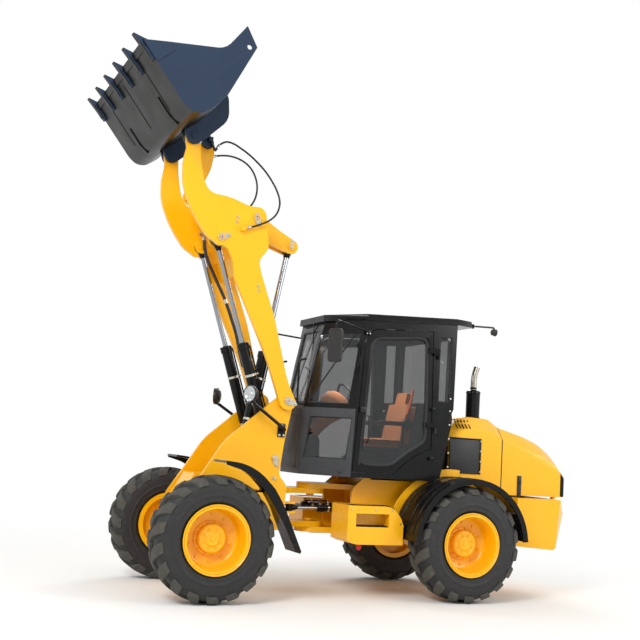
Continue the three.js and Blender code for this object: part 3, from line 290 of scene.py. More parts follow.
def enamel(name, base, dirt_and_shade, roughness, dust=PALE_DUST, dust_amount=0.10, gloss=0.5):
    """Machine enamel, sprayed over welded plate: glossy, with orange peel, faint dirt, painted shade in the
    corners, mud low down and a little dust.
    """
    material, tree, shader = new_material(name, {
        "Roughness": roughness, "IOR": 1.45, "Specular IOR Level": gloss, "Coat Weight": 0.12,
        "Coat Roughness": 0.10})
    # The second layer is painted shade: corners closed in by ambient occlusion darken towards the dirt
    # colour.
    coats(tree, shader, base, (patches(tree, 700, 3, 0.35, 0.75, 0.0, 0.05), dirt_and_shade),
          (painted_corner_shade(tree), dirt_and_shade), (mud_splash(tree), MUD),
          (settled_dust(tree, 45, 0.35, dust_amount), dust))
    uneven_gloss(tree, shader, 120, 4, 0.3, 0.8, roughness - 0.05, roughness + 0.12)
    grain(tree, shader, 5, 1, 0.10)
    return material


def worn_enamel(name, base, bare, amount, roughness):
    """Enamel that earth has scratched through to bare steel, in streaks along the bucket's floor."""
    material, tree, shader = new_material(name, {"Roughness": roughness, "Specular IOR Level": 0.16})
    place = add_node(tree, "ShaderNodeTexCoord", output="Object")
    place = add_node(tree, "ShaderNodeMapping", {
        "Rotation": (0, -BUCKET_ROLL, 0), "Scale": (1, SCRATCH_STRETCH, SCRATCH_STRETCH)}, {"Vector": place})
    streaks = add_node(tree, "ShaderNodeTexNoise", {"Scale": 60 / SCRATCH_MM, "Detail": 6.0},
                       {"Vector": place}, "Fac")
    worn = add_node(tree, "ShaderNodeMapRange", span(0.66 - amount * 0.2, 0.80, 0.0, amount),
                    {"Value": streaks})
    coats(tree, shader, base, (patches(tree, 420, 2, 0.3, 0.8, 0.0, 0.30), scaled(base, 0.72)),
          (settled_dust(tree, 50, 0.3, 0.15), EARTH_DUST), (worn, bare))
    uneven_gloss(tree, shader, 300, 3, 0.3, 0.8, roughness - 0.06, roughness + 0.12)
    grain(tree, shader, 9, 3, 0.10)
    return material


def metal(name, base, roughness, spread=0.06, grain_mm=0):
    """Bare, plated or polished metal, with a grain only where one is wide enough to show."""
    material, tree, shader = new_material(name, {
        "Metallic": 1.0, "Roughness": roughness, "Base Color": (*linear(base), 1)})
    uneven_gloss(tree, shader, 40, 4, 0.3, 0.7, max(roughness - spread, 0.02), roughness + spread)
    if grain_mm:
        grain(tree, shader, grain_mm, 2, 0.05, 0.2)
    return material


def moulded(name, base, roughness, grain_mm, dust_amount=0.0, strength=0.15):
    """Moulded plastic or rubber with a leathery grain, and dust where asked."""
    material, tree, shader = new_material(name, {"Roughness": roughness, "IOR": 1.5})
    coats(tree, shader, base, (patches(tree, 130, 4, 0.3, 0.8, 0.0, 0.35), scaled(base, 0.7)),
          (patches(tree, 35, 6, 0.45, 0.8, 0.0, dust_amount), ROAD_DUST))
    uneven_gloss(tree, shader, 70, 4, 0.3, 0.8, roughness - 0.06, roughness + 0.10)
    grain(tree, shader, grain_mm, 2, strength)
    return material


def cloth(name, base, weave_mm):
    """Plain woven upholstery: crossing threads with a soft sheen, painted shade in the dips between them and
    lighter faded patches.
    """
    material, tree, shader = new_material(name, {"Roughness": 0.85, "Sheen Weight": 0.25, "IOR": 1.45})
    place = add_node(tree, "ShaderNodeTexCoord", output="Object")
    warp, weft = (add_node(tree, "ShaderNodeTexWave", {
        "bands_direction": direction, "Scale": 1000 / weave_mm / 3.2, "Distortion": 0.6, "Detail": 1.0},
        {"Vector": place}, "Fac") for direction in ("Y", "Z"))
    weave = add_node(tree, "ShaderNodeMath", PRODUCT, {0: warp, 1: weft})
    raised = add_node(tree, "ShaderNodeMapRange", span(0.0, 0.9), {"Value": weave})
    # The dips between raised threads are painted darker: painted shade in the weave.
    coats(tree, shader, scaled(base, 0.62), (raised, base),
          (patches(tree, 110, 4, 0.3, 0.8, 0.0, 0.4), scaled(base, 1.25)))
    normal = add_node(tree, "ShaderNodeBump", {"Strength": 0.35, "Distance": 1.0 * MM}, {"Height": weave})
    tree.links.new(normal, shader.inputs["Normal"])
    return material


def glass(name, tint):
    """Tinted safety glass in a thin pane: dark, clear and glossy."""
    material, tree, shader = new_material(name, {
        "Base Color": (*tint, 1), "Alpha": 0.42, "IOR": 1.52, "Coat Weight": 1.0, "Coat Roughness": 0.01})
    uneven_gloss(tree, shader, 400, 4, 0.45, 0.85, 0.02, 0.12)
    return material


def perforated(name, base, pitch_mm):
    """Black sheet with a close pattern of round holes, drawn as dark dots of painted shade for the dark space
    behind them.
    """
    material, tree, shader = new_material(name, {"Roughness": 0.45, "IOR": 1.5})
    place = add_node(tree, "ShaderNodeTexCoord", output="Object")
    dots = add_node(tree, "ShaderNodeTexVoronoi", {"Scale": 1000 / pitch_mm, "Randomness": 0.0},
                    {"Vector": place}, "Distance")
    # The holes are painted near-black: painted shade seen through them.
    coats(tree, shader, base, (add_node(tree, "ShaderNodeMapRange", span(0.42, 0.36), {"Value": dots}), DARK))
    rim = add_node(tree, "ShaderNodeMapRange", span(0.36, 0.44), {"Value": dots})
    normal = add_node(tree, "ShaderNodeBump", {"Strength": 0.6, "Distance": 2.0 * MM}, {"Height": rim})
    tree.links.new(normal, shader.inputs["Normal"])
    return material


def lamp_glass(name, base, strength, cover=1.0):
    """Clear or coloured lens over a bright reflector, with moulded flutes; its emission is a painted glow for
    the light that the lens sends back.
    """
    material, tree, shader = new_material(name, {
        "Roughness": 0.08, "IOR": 1.5, "Coat Weight": 1.0, "Emission Strength": strength,
        "Emission Color": (*base, 1), "Alpha": cover})
    place = add_node(tree, "ShaderNodeTexCoord", output="Object")
    flutes = add_node(tree, "ShaderNodeTexWave", {"bands_direction": "Y", "Scale": 28.0}, {"Vector": place},
                      "Fac")
    fade = add_node(tree, "ShaderNodeMapRange", span(0.0, 1.0, 0.0, 0.25), {"Value": flutes})
    coats(tree, shader, base, (fade, scaled(base, 0.55)))
    normal = add_node(tree, "ShaderNodeBump", {"Strength": 0.3, "Distance": 2.0 * MM}, {"Height": flutes})
    tree.links.new(normal, shader.inputs["Normal"])
    return material


MATERIALS = {}


def make_materials():
    """Makes every finish from the user's colours."""
    c = bpy.context.scene.loader_colours
    MATERIALS.update({
        # Two-pack enamel over plate: a warm, even yellow with soft highlights and brown painted shade in the
        # corners.
        "yellow": enamel("gloss_yellow_enamel", tuple(c.yellow), tuple(c.yellow_dirt_and_shade), 0.30),
        # Satin enamel on sheet: nearly black, with only a weak sheen along the edges.
        "black": enamel("satin_black_enamel", tuple(c.black), DARK, 0.22, GREY_DUST, 0.05, 0.18),
        # The same enamel on turned barrels, darker for the oil that stays on it.
        "barrel": enamel("cylinder_black_enamel", scaled(c.black, 0.6), DARK, 0.26, gloss=0.2),
        # Blue-grey enamel on the bucket, dulled and lightly scratched to steel.
        "slate": worn_enamel("slate_bucket_enamel", tuple(c.slate), linear("#5E6066"), 0.15, 0.36),
        # The bucket's underside: its dull dark enamel deepened to a near-black brown by painted shade, as it
        # looks down and back, with more steel showing in streaks.
        "floor": worn_enamel("shaded_bucket_underside", tuple(c.bucket_underside_shade), linear("#3C3A35"), 0.30, 0.30),
        # Ground and hard-chromed rod: a clear, dark mirror that stretches what it shows.
        "chrome": metal("hard_chrome_rod", "#9BA0A5", 0.16, 0.03),
        # Zinc plating on pins and bolts: pale, slightly warm and soft in its shine.
        "plated": metal("zinc_plated_steel", "#C3C2B4", 0.30, grain_mm=3),
        # Drawn stainless tube, browned a little by the heat.
        "stainless": metal("stainless_exhaust_tube", "#A9A39A", 0.30, 0.04),
        # Sand-cast iron under grey paint: matt, with a coarse skin.
        "iron": moulded("painted_iron_casting", linear("#4A4A4C"), 0.6, 6, 0.2, 0.35),
        # Moulded side wall: black, a little glossy where it is wiped.
        "rubber": moulded("tyre_side_rubber", tuple(c.rubber), 0.62, 4, 0.05, 0.20),
        # The same rubber on the lugs, rough and grey with dust.
        "tread": moulded("dusty_tyre_lug", tuple(c.tread_dust), 0.80, 5, 0.18, 0.35),
        # Wrapped hydraulic hose: matt black with a fine cloth mark.
        "hose": moulded("hydraulic_hose_rubber", linear("#141416"), 0.45, 3, 0.08),
        # Grained moulding on latches, lamps and controls: black with a broad, weak shine.
        "plastic": moulded("grained_black_plastic", linear("#141517"), 0.45, 2.5, 0.05),
        # The lighter moulding of the cab's nose, column and mat.
        "grey_plastic": moulded("grey_cab_plastic", linear("#2C2F33"), 0.42, 2.5, 0.05),
        # Extruded rubber round the panes: matt black.
        "seal": moulded("window_rubber_seal", linear("#101113"), 0.6, 3),
        # Woven seat cover: orange-brown threads; the weave is drawn coarse enough to show.
        "seat": cloth("woven_seat_cloth", tuple(c.seat), 6),
        # Close belt webbing in a bright safety orange.
        "belt": cloth("orange_belt_webbing", linear("#E8641B"), 3),
        # Toughened glass, tinted dark, that shows the seat through it and mirrors the light.
        "glass": glass("tinted_safety_glass", tuple(c.glass)),
        # Silvered glass: the brightest and sharpest mirror on the machine.
        "mirror": metal("silvered_mirror_glass", "#E4E8EA", 0.03, 0.01),
        # Punched sheet over the cooler; its pitch is drawn coarse enough to show.
        "mesh": perforated("perforated_black_sheet", linear("#1A1B1D"), 16),
        # Clear fluted lens, thin enough for the reflector to show.
        "lens": lamp_glass("clear_lamp_lens", linear("#C8CCCC"), 0.0, 0.35),
        # Amber lens with a faint painted glow for the daylight that it sends back.
        "amber": lamp_glass("amber_lamp_lens", linear("#E8811A"), 0.05),
        # Glossy red cap, as moulded.
        "red": moulded("red_cap_plastic", linear("#D2201C"), 0.35, 4),
        # White prismatic reflector on the step, with a faint painted glow for the light that it sends back.
        "reflector": lamp_glass("white_reflector", linear("#DDE0E0"), 0.05),
    })


# ------------------------------------------------------------------ mesh tools
def round_edges(bm, edges, width, segments=2):
    """Rounds edges to a width."""
    bmesh.ops.bevel(bm, geom=list(edges), offset=width, segments=segments, profile=0.5, affect="EDGES",
                    material=-1, clamp_overlap=True)


def add_box(bm, low, high, rounding=0.0):
    """A box between two corners, with rounded edges if asked."""
    verts = bmesh.ops.create_cube(bm, size=1.0)["verts"]
    low, high = Vector(low), Vector(high)
    bmesh.ops.scale(bm, vec=high - low, verts=verts)
    bmesh.ops.translate(bm, vec=(low + high) / 2, verts=verts)
    if rounding:
        round_edges(bm, {edge for vert in verts for edge in vert.link_edges}, rounding)


def add_rod(bm, start, end, radius, end_radius=None, sides=24):
    """A round or hexagonal rod, or a cone, between two points."""
    start, end = Vector(start), Vector(end)
    turn = (end - start).to_track_quat("Z", "Y").to_matrix().to_4x4()
    bmesh.ops.create_cone(bm, cap_ends=True, segments=sides, radius1=radius,
                          radius2=radius if end_radius is None else end_radius, depth=(end - start).length,
                          matrix=Matrix.Translation((start + end) / 2) @ turn)


def add_turned(bm, profile, centre, axis, steps=48):
    """Spins a closed chain of (radius, distance along the axis) points round an axis."""
    centre, axis = Vector(centre), Vector(axis).normalized()
    side = axis.orthogonal().normalized()
    verts = [bm.verts.new(centre + side * r + axis * a) for r, a in profile]
    edges = [bm.edges.new(pair) for pair in zip(verts, verts[1:])]
    if profile[0][0] or profile[-1][0]:
        edges.append(bm.edges.new((verts[-1], verts[0])))
    bmesh.ops.spin(bm, geom=verts + edges, cent=centre, axis=axis, angle=2 * math.pi, steps=steps,
                   use_merge=True)


def add_prism(bm, outline, depth, up=(0, 1, 0)):
    """Extrudes a flat outline of 3-D points by depth along a direction."""
    face = bm.faces.new([bm.verts.new(point) for point in outline])
    grown = bmesh.ops.extrude_face_region(bm, geom=[face])["geom"]
    moved = [item for item in grown if isinstance(item, bmesh.types.BMVert)]
    bmesh.ops.translate(bm, vec=Vector(up) * depth, verts=moved)


def add_side_plate(bm, outline, y0, y1):
    """Extrudes a side outline of (x, z) points from y0 to y1."""
    add_prism(bm, [(x, y0, z) for x, z in outline], y1 - y0)


def add_bucket_plate(bm, outline, y, width):
    """Extrudes an outline of the bucket's own (x, z) points from y by a width."""
    add_prism(bm, [in_bucket(x, y, z) for x, z in outline], width)


def arc(centre, radius, start, end, steps):
    """Points of an arc about a 2-D centre, in degrees."""
    angles = [math.radians(start + (end - start) * i / steps) for i in range(steps + 1)]
    return [(centre[0] + radius * math.cos(a), centre[1] + radius * math.sin(a)) for a in angles]


def bent(points, bend, steps=5):
    """A line through points, with its corners rounded."""
    points = [Vector(p) for p in points]
    line = [points[0]]
    for before, corner, after in zip(points, points[1:], points[2:]):
        start = corner + (before - corner).normalized() * min(bend, (before - corner).length / 2)
        end = corner + (after - corner).normalized() * min(bend, (after - corner).length / 2)
        for i in range(steps + 1):
            t = i / steps
            line.append(start * (1 - t) ** 2 + corner * 2 * t * (1 - t) + end * t ** 2)
    return line + [points[-1]]


def link_object(name, data):
    """A new object in the scene."""
    item = bpy.data.objects.new(name, data)
    bpy.context.scene.collection.objects.link(item)
    return item


def add_tube(bm, points, radius, bend=0.0, smooth=False, sides=12):
    """A round tube along points, as a curve with a bevel."""
    line = bent(points, bend) if bend else [Vector(p) for p in points]
    curve = bpy.data.curves.new("tube", "CURVE")
    curve.dimensions = "3D"
    curve.bevel_depth = radius
    curve.bevel_resolution = max((sides - 4) // 2, 0)
    curve.use_fill_caps = True
    curve.resolution_u = 6
    if smooth:
        spline = curve.splines.new("BEZIER")
        spline.bezier_points.add(len(line) - 1)
        for knot, point in zip(spline.bezier_points, line):
            knot.co = point
            knot.handle_left_type = knot.handle_right_type = "AUTO"
    else:
        spline = curve.splines.new("POLY")
        spline.points.add(len(line) - 1)
        for knot, point in zip(spline.points, line):
            knot.co = (*point, 1)
    item = link_object("tube", curve)
    evaluated = item.evaluated_get(bpy.context.evaluated_depsgraph_get())
    mesh = bpy.data.meshes.new_from_object(evaluated)
    bm.from_mesh(mesh)
    bpy.data.objects.remove(item)
    bpy.data.meshes.remove(mesh)
    bpy.data.curves.remove(curve)


def add_bolt(bm, point, axis, size=18.0):
    """Hexagon bolt head on a washer, standing out along an axis."""
    point, axis = Vector(point), Vector(axis).normalized()
    add_rod(bm, point, point + axis * size * 0.16, size * 0.62, sides=16)
    add_rod(bm, point + axis * size * 0.16, point + axis * size * 0.62, size * 0.5, sides=6)


def to_metres(bm, name):
    """Turns a bmesh in millimetres into a mesh in metres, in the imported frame."""
    bmesh.ops.scale(bm, vec=(MM, MM, MM), verts=bm.verts)
    bmesh.ops.translate(bm, vec=TO_MIDDLE, verts=bm.verts)
    mesh = bpy.data.meshes.new(name)
    bm.to_mesh(mesh)
    bm.free()
    return mesh


def finish_piece(bm, name, material, body, replaces=(), edge=0.0, smooth=38.0):
    """Closes a bmesh in millimetres into a named object in metres, dressed and riding on a body."""
    bmesh.ops.remove_doubles(bm, verts=bm.verts, dist=0.02)
    bmesh.ops.recalc_face_normals(bm, faces=bm.faces)
    return dress(to_metres(bm, name), name, material, body, replaces, edge, smooth)


def dress(mesh, name, material, body, replaces=(), edge=0.0, smooth=38.0):
    """Gives a mesh its finish, its edge rounding, its body and the nodes it stands for."""
    mesh.shade_smooth()
    mesh.set_sharp_from_angle(angle=math.radians(smooth))
    keys = [material] if isinstance(material, str) else material
    for key in keys:
        mesh.materials.append(MATERIALS[key])
    piece = link_object(name, mesh)
    if edge:
        bevel = piece.modifiers.new("plate_edge", "BEVEL")
        bevel.width = edge
        bevel.segments = 2
        bevel.limit_method = "ANGLE"
        bevel.angle_limit = math.radians(40)
        bevel.harden_normals = True
    if body:
        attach(piece, body)
    if replaces:
        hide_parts(*replaces)
    return piece


def bolt_set(name, body, points, axis, size):
    """Like bolts at several points, as one zinc-plated piece."""
    bm = bmesh.new()
    for point in points:
        add_bolt(bm, point, axis, size)
    finish_piece(bm, name, "plated", body)


def merged_copy(node):
    """A CAD node's mesh with its corners merged and its flat faces joined, in metres."""
    bm = bmesh.new()
    bm.from_mesh(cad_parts[node].data)
    bmesh.ops.remove_doubles(bm, verts=bm.verts, dist=0.0001)
    bmesh.ops.dissolve_limit(bm, angle_limit=math.radians(0.6), verts=bm.verts, edges=bm.edges)
    return bm


def soften_outline(bm, lowest=4.0, highest=50.0):
    """Rounds the gentle corners of side outlines, so that flame-cut curves read as curves."""
    widths = {0.08: [], 0.04: [], 0.02: [], 0.01: [], 0.005: []}
    for edge in bm.edges:
        run = edge.verts[1].co - edge.verts[0].co
        if run.length < 0.008 or abs(run.normalized().y) < 0.999 or not edge.is_manifold:
            continue
        if not math.radians(lowest) < edge.calc_face_angle(0) < math.radians(highest):
            continue
        beside = (other for vert in edge.verts for other in vert.link_edges if other is not edge)
        room = min(other.calc_length() for other in beside) * 0.42
        width = next((size for size in widths if size <= room), None)
        if width:
            widths[width].append(edge)
    for width, edges in widths.items():
        whole = [edge for edge in edges if edge.is_valid]
        if whole:
            round_edges(bm, whole, width, 3)


def refined(node, material, body, edge=None, smooth=38.0):
    """A merged copy of a CAD node with rounded plate edges, standing for it."""
    bm = merged_copy(node)
    soften_outline(bm)
    mesh = bpy.data.meshes.new(node + "_skin")
    bm.to_mesh(mesh)
    bm.free()
    width = sizes().edge if edge is None else edge
    return dress(mesh, node + "_skin", material, body, (node,), width, smooth)


# ------------------------------------------------------------------ frames, arms and bucket
def skins(material, body, *nodes, edge=None):
    """Refined copies of CAD nodes in one finish on one body."""
    for node in nodes:
        refined(node, material, body, edge)


class LOADER_OT_steelwork(bpy.types.Operator):
    """Dresses the frames, lift arms, bellcrank, link and bucket with rounded, painted plate"""
    bl_idname = "loader.steelwork"
    bl_label = "Steelwork"

    def execute(self, context):
        skins("yellow", "front", "front_frame", "front_axle")
        skins("yellow", "rear", "rear_frame", "rear_axle", "counterweight", "cowl", "step_left", "step_right")
        skins("yellow", "hood", "hood", edge=0.012)
        skins("yellow", "boom", "boom")
        skins("yellow", "bellcrank", "bellcrank")
        skins("yellow", "tilt_link", "tilt_link")
        skins("iron", "rear", "engine_block")
        bucket_shell()
        bucket_fittings()
        tooth_straps()
        arm_welds()
        return {"FINISHED"}


def bucket_shell():
    """The bucket, with its sides and inside in slate and its underside in dull enamel darkened by painted
    shade.
    """
    piece = refined("bucket", ["slate", "floor"], "bucket", 0.005)
    pivot = in_bucket(0, 0, 0)
    below = in_bucket(0, 0, -1) - pivot
    behind = in_bucket(-1, 0, 0.15) - pivot
    along = in_bucket(1, 0, 0) - pivot
    tip = (in_bucket(TOOTH_TIP_X, 0, 0) * MM + TO_MIDDLE).dot(along)
    # Faces that look down or back, and those past the tooth line, take the darker finish; on the underside it
    # is painted shade.
    for face in piece.data.polygons:
        if max(face.normal.dot(below), face.normal.dot(behind)) > 0.55 or face.center.dot(along) > tip:
            face.material_index = 1
    for sign in (1, -1):
        pierce(piece, in_bucket(440, sign * (BUCKET_HALF + 20), 784), (0, -sign, 0), 60, 27)


def pierce(piece, start, axis, depth, radius):
    """Drills a round hole through a piece that has no modifier but its edge rounding."""
    bm = bmesh.new()
    start = Vector(start)
    add_rod(bm, start, start + Vector(axis) * depth, radius, sides=28)
    mesh = to_metres(bm, "drill")
    drill = link_object("drill", mesh)
    rounding = piece.modifiers.get("plate_edge")
    if rounding:
        rounding.show_viewport = False
    cut = piece.modifiers.new("hole", "BOOLEAN")
    cut.operation = "DIFFERENCE"
    cut.solver = "EXACT"
    cut.object = drill
    bpy.context.view_layer.update()
    result = bpy.data.meshes.new_from_object(piece.evaluated_get(bpy.context.evaluated_depsgraph_get()))
    piece.modifiers.remove(cut)
    piece.data = result
    if rounding:
        rounding.show_viewport = True
    bpy.data.objects.remove(drill)
    bpy.data.meshes.remove(mesh)


def bucket_fittings():
    """Corner plates on the sides, and ribs, heel plates and a wear strip under the floor."""
    under = BUCKET_UNDERSIDE
    bm = bmesh.new()
    for sign in (1, -1):
        corner = ((1024, under), (877, 42), (778, 50), (764, under))
        add_bucket_plate(bm, corner, sign * BUCKET_HALF, 7 * sign)
    finish_piece(bm, "corner_plates", "slate", "bucket", edge=0.002)
    bm = bmesh.new()
    rib = ((330, under), (900, under), (890, under - 7), (340, under - 7))
    for y in (-760, 0, 760):
        add_bucket_plate(bm, rib, y - 5, 10)
    heel = ((300, under), (170, -158), (163, -170), (292, under - 14), (520, under - 14), (520, under))
    for y in (-640, 640):
        add_bucket_plate(bm, heel, y - 60, 120)
    wear_strip = ((940, under), (1018, under), (1012, under - 12), (946, under - 12))
    add_bucket_plate(bm, wear_strip, -BUCKET_HALF + 14, 2 * BUCKET_HALF - 28)
    finish_piece(bm, "bucket_floor_ribs", "floor", "bucket", edge=0.002)


def tooth_straps():
    """Two dark straps that hold each tooth to the cutting edge, with a retaining pin."""
    bm = bmesh.new()
    for i in range(TEETH):
        y = (i / (TEETH - 1) - 0.5) * (2 * BUCKET_HALF - 92)
        for low, high in ((-224, -216), (-160, -148)):
            add_bucket_plate(bm, ((840, low), (1000, low), (1024, high), (840, high)), y - 36, 72)
        add_rod(bm, in_bucket(984, y - 40, -190), in_bucket(984, y + 40, -190), 9, sides=12)
    finish_piece(bm, "tooth_straps", "floor", "bucket", edge=0.003)


def arm_welds():
    """Weld beads round the lever's bearing on the inside of the arms."""
    bm = bmesh.new()
    for sign in (1, -1):
        y = sign * (ARM_INNER_Y - 3)
        add_tube(bm, [across(p, y) for p in arc(LEVER_PIVOT, 66, 0, 360, 24)], 6, sides=8)
    finish_piece(bm, "arm_welds", "yellow", "boom", smooth=60)


# ------------------------------------------------------------------ pins
KEEPER_THICK = 10
PIN_SEAT = KEEPER_THICK - 1


def add_pin(bm, centre, y, sign, radius):
    """Pin head with a chamfer and a grease fitting, standing out along Y."""
    start = across(centre, y)
    head = [(0, 0), (radius, 0), (radius, 9), (radius - 3, 13), (9, 13)]
    grease_fitting = [(9, 17), (5, 25), (0, 25)]
    add_turned(bm, head + grease_fitting, start, (0, sign, 0), 28)


def add_keeper(bm, centre, y, sign, angle, size=1.0):
    """Teardrop plate that keeps a pin from turning, bolted at its tip."""
    turn = math.radians(angle)
    tip = (centre[0] + 88 * size * math.cos(turn), centre[1] + 88 * size * math.sin(turn))
    round_pin = arc(centre, 46 * size, angle + 70, angle + 290, 16)
    round_tip = arc(tip, 20 * size, angle - 70, angle + 70, 8)
    add_side_plate(bm, round_pin + round_tip, y, y + sign * KEEPER_THICK)
    add_bolt(bm, across(tip, y + sign * KEEPER_THICK), (0, sign, 0), 22)


class LOADER_OT_pins(bpy.types.Operator):
    """Adds pin heads, plated keepers and bolts to the pivots"""
    bl_idname = "loader.pins"
    bl_label = "Pins and keepers"

    def execute(self, context):
        outer = ARM_OUTER_Y + 1
        boom_pins = ((BOOM_PIVOT, 200), (LIFT_ROD_PIVOT, 160), (LEVER_PIVOT, 250), (BUCKET_PIVOT, 215))
        plates, heads, dots = bmesh.new(), bmesh.new(), bmesh.new()
        for sign in (1, -1):
            for centre, angle in boom_pins:
                add_keeper(plates, centre, sign * outer, sign, angle)
                add_pin(heads, centre, sign * (outer + PIN_SEAT), sign, 32)
                cap = across(centre, sign * (outer + 32))
                add_rod(dots, cap, cap + Vector((0, sign * 8, 0)), 7, sides=16)
            for spot in ((1308, 4010), (1300, 4062), (1010, 3330), (1000, 3282)):
                add_bolt(plates, across(spot, sign * (outer - 2)), (0, sign, 0), 24)
        finish_piece(plates, "arm_pin_keepers", "plated", "boom", edge=0.001)
        finish_piece(heads, "arm_pin_heads", "plated", "boom")
        finish_piece(dots, "grease_caps", "red", "boom")
        self.tower_pins()
        self.lever_pins()
        return {"FINISHED"}

    def tower_pins(self):
        """The lift cylinders' base pins, and a bolt under them."""
        plates = bmesh.new()
        for sign in (1, -1):
            add_keeper(plates, LIFT_BASE_PIVOT, sign * TOWER_OUTER_Y, sign, 255, 0.9)
            add_pin(plates, LIFT_BASE_PIVOT, sign * (TOWER_OUTER_Y + PIN_SEAT), sign, 30)
            add_bolt(plates, across((652, 1251), sign * TOWER_OUTER_Y), (0, sign, 0), 34)
        finish_piece(plates, "tower_pin_keepers", "plated", "front", edge=0.001)

    def lever_pins(self):
        """The pins at the two ends of the bellcrank."""
        plates = bmesh.new()
        for sign in (1, -1):
            for centre, angle in ((LEVER_ROD_PIVOT, 100), (LEVER_LINK_PIVOT, 60)):
                add_keeper(plates, centre, sign * LEVER_FACE_Y, sign, angle, 0.8)
                add_pin(plates, centre, sign * (LEVER_FACE_Y + PIN_SEAT), sign, 27)
        finish_piece(plates, "lever_pin_keepers", "plated", "bellcrank", edge=0.001)


# ------------------------------------------------------------------ cylinders
# Each is its barrel's radius, the distance from its base pin to the gland's face, and the radii of
# its rod and of its pins.
LIFT_CYLINDER = (60, 1310, 27.5, PIN_RADIUS)
TILT_CYLINDER = (62, 1120, 32, PIN_RADIUS)
STEER_CYLINDER = (38, 460, 19, 22)


def clamp_band(bm, centre, axis, radius, width):
    """Band round a tube or barrel."""
    inner, outer, half = radius - 4, radius + 3, width / 2
    add_turned(bm, [(inner, -half), (outer, -half), (outer, half), (inner, half)], centre, axis, 32)


def cylinder(name, base, eye, measures, pin_axis, bodies, line_side):
    """A hydraulic cylinder: welded barrel with its gland, and a chromed rod with a forged eye.

    bodies are those of the barrel and the rod, and line_side is the direction in which the steel
    line stands off the barrel.
    """
    radius, gland_end, rod_radius, pin = measures
    barrel_body, rod_body = bodies
    base, eye = Vector(base), Vector(eye)
    along = (eye - base).normalized()
    eye_radius = radius + 5 if radius < 50 else 66
    bm = bmesh.new()
    profile = [
        (0, 20), (radius - 16, 20), (radius - 12, eye_radius + 22), (radius, eye_radius + 38),
        (radius, gland_end - 74), (radius + 8, gland_end - 70), (radius + 8, gland_end - 6),
        (radius + 3, gland_end), (rod_radius + 5, gland_end), (rod_radius + 5, gland_end + 7),
        (rod_radius + 1, gland_end + 7), (rod_radius + 1, gland_end - 40), (0, gland_end - 40)]
    add_turned(bm, profile, base, along, 40)
    eyelet(bm, base, pin_axis, eye_radius, pin)
    barrel = finish_piece(bm, name + "_barrel", "barrel", barrel_body, edge=0.0015)
    bm = bmesh.new()
    reach = (eye - base).length
    rod_end = reach - eye_radius * 0.8
    add_turned(bm, [(0, gland_end - 60), (rod_radius, gland_end - 60), (rod_radius, rod_end), (0, rod_end)],
               base, along, 40)
    rod = finish_piece(bm, name + "_rod", "chrome", rod_body)
    bm = bmesh.new()
    neck, shank = reach - eye_radius - 60, rod_radius + 15
    add_turned(bm, [(0, neck), (rod_radius + 2, neck), (shank, reach - eye_radius - 10), (shank, reach - 24),
                    (0, reach - 24)], base, along, 32)
    eyelet(bm, eye, pin_axis, eye_radius - 4, pin)
    finish_piece(bm, name + "_rod_eye", "barrel", rod_body, edge=0.0015)
    steel_line(name, base, along, Vector(line_side).normalized(), radius, gland_end, barrel_body)
    return barrel, rod


def eyelet(bm, centre, pin_axis, radius, pin):
    """Ring about a pin, with chamfered faces."""
    inner = pin + 1.5
    profile = [(inner, -40), (radius - 5, -40), (radius, -34), (radius, 34), (radius - 5, 40), (inner, 40)]
    add_turned(bm, profile, centre, pin_axis, 36)


def steel_line(name, base, along, off, radius, gland_end, body):
    """Steel tube along a barrel with its ports, fittings and zinc clamps."""
    line = radius + 17
    ports = (120, gland_end - 34)
    near, far = (base + along * distance for distance in ports)
    bm = bmesh.new()
    add_tube(bm, [near + off * (radius - 4), near + off * line + along * 6, far + off * line,
                  far + off * (radius + 2)], 9, bend=22, sides=12)
    finish_piece(bm, name + "_steel_line", "barrel", body)
    bm = bmesh.new()
    for distance in (gland_end * 0.30, gland_end * 0.72):
        seat = base + along * distance
        clamp_band(bm, seat, along, radius, 26)
        add_rod(bm, seat + off * (radius - 2), seat + off * (line + 13), 12, sides=20)
        add_bolt(bm, seat + off * (line + 12), off, 14)
    for port in (near, far):
        add_rod(bm, port + off * (radius - 3), port + off * (radius + 13), 17, sides=6)
    finish_piece(bm, name + "_clamps", "plated", body, edge=0.0008)


class LOADER_OT_cylinders(bpy.types.Operator):
    """Builds the lift, tilt and steering cylinders with chromed rods"""
    bl_idname = "loader.cylinders"
    bl_label = "Cylinders"

    def execute(self, context):
        crosswise, upright = (0, 1, 0), (0, 0, 1)
        for side, sign in SIDES:
            y = sign * LIFT_CYLINDER_Y
            barrel, rod = cylinder(
                f"lift_{side}", across(LIFT_BASE_PIVOT, y), across(LIFT_ROD_PIVOT, y), LIFT_CYLINDER,
                crosswise, ("lift_barrels", "lift_rods"), (-1, 0, 0.34))
            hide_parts(f"lift_barrel_{side}")
            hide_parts(f"lift_rod_{side}")
            start = (STEER_BASE[0], sign * STEER_BASE[1], STEER_Z)
            end = (STEER_EYE[0], sign * STEER_EYE[1], STEER_Z)
            barrel, rod = cylinder(f"steer_{side}", start, end, STEER_CYLINDER, upright,
                                   (f"steer_barrel_{side}", f"steer_rod_{side}"), upright)
            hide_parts(f"steer_barrel_{side}")
            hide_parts(f"steer_rod_{side}")
        barrel, rod = cylinder("tilt", across(TILT_BASE_PIVOT, 0), across(LEVER_ROD_PIVOT, 0), TILT_CYLINDER,
                               crosswise, ("tilt_barrel", "tilt_rod"), (-1, 0, -0.17))
        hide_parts("tilt_barrel")
        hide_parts("tilt_rod")
        return {"FINISHED"}


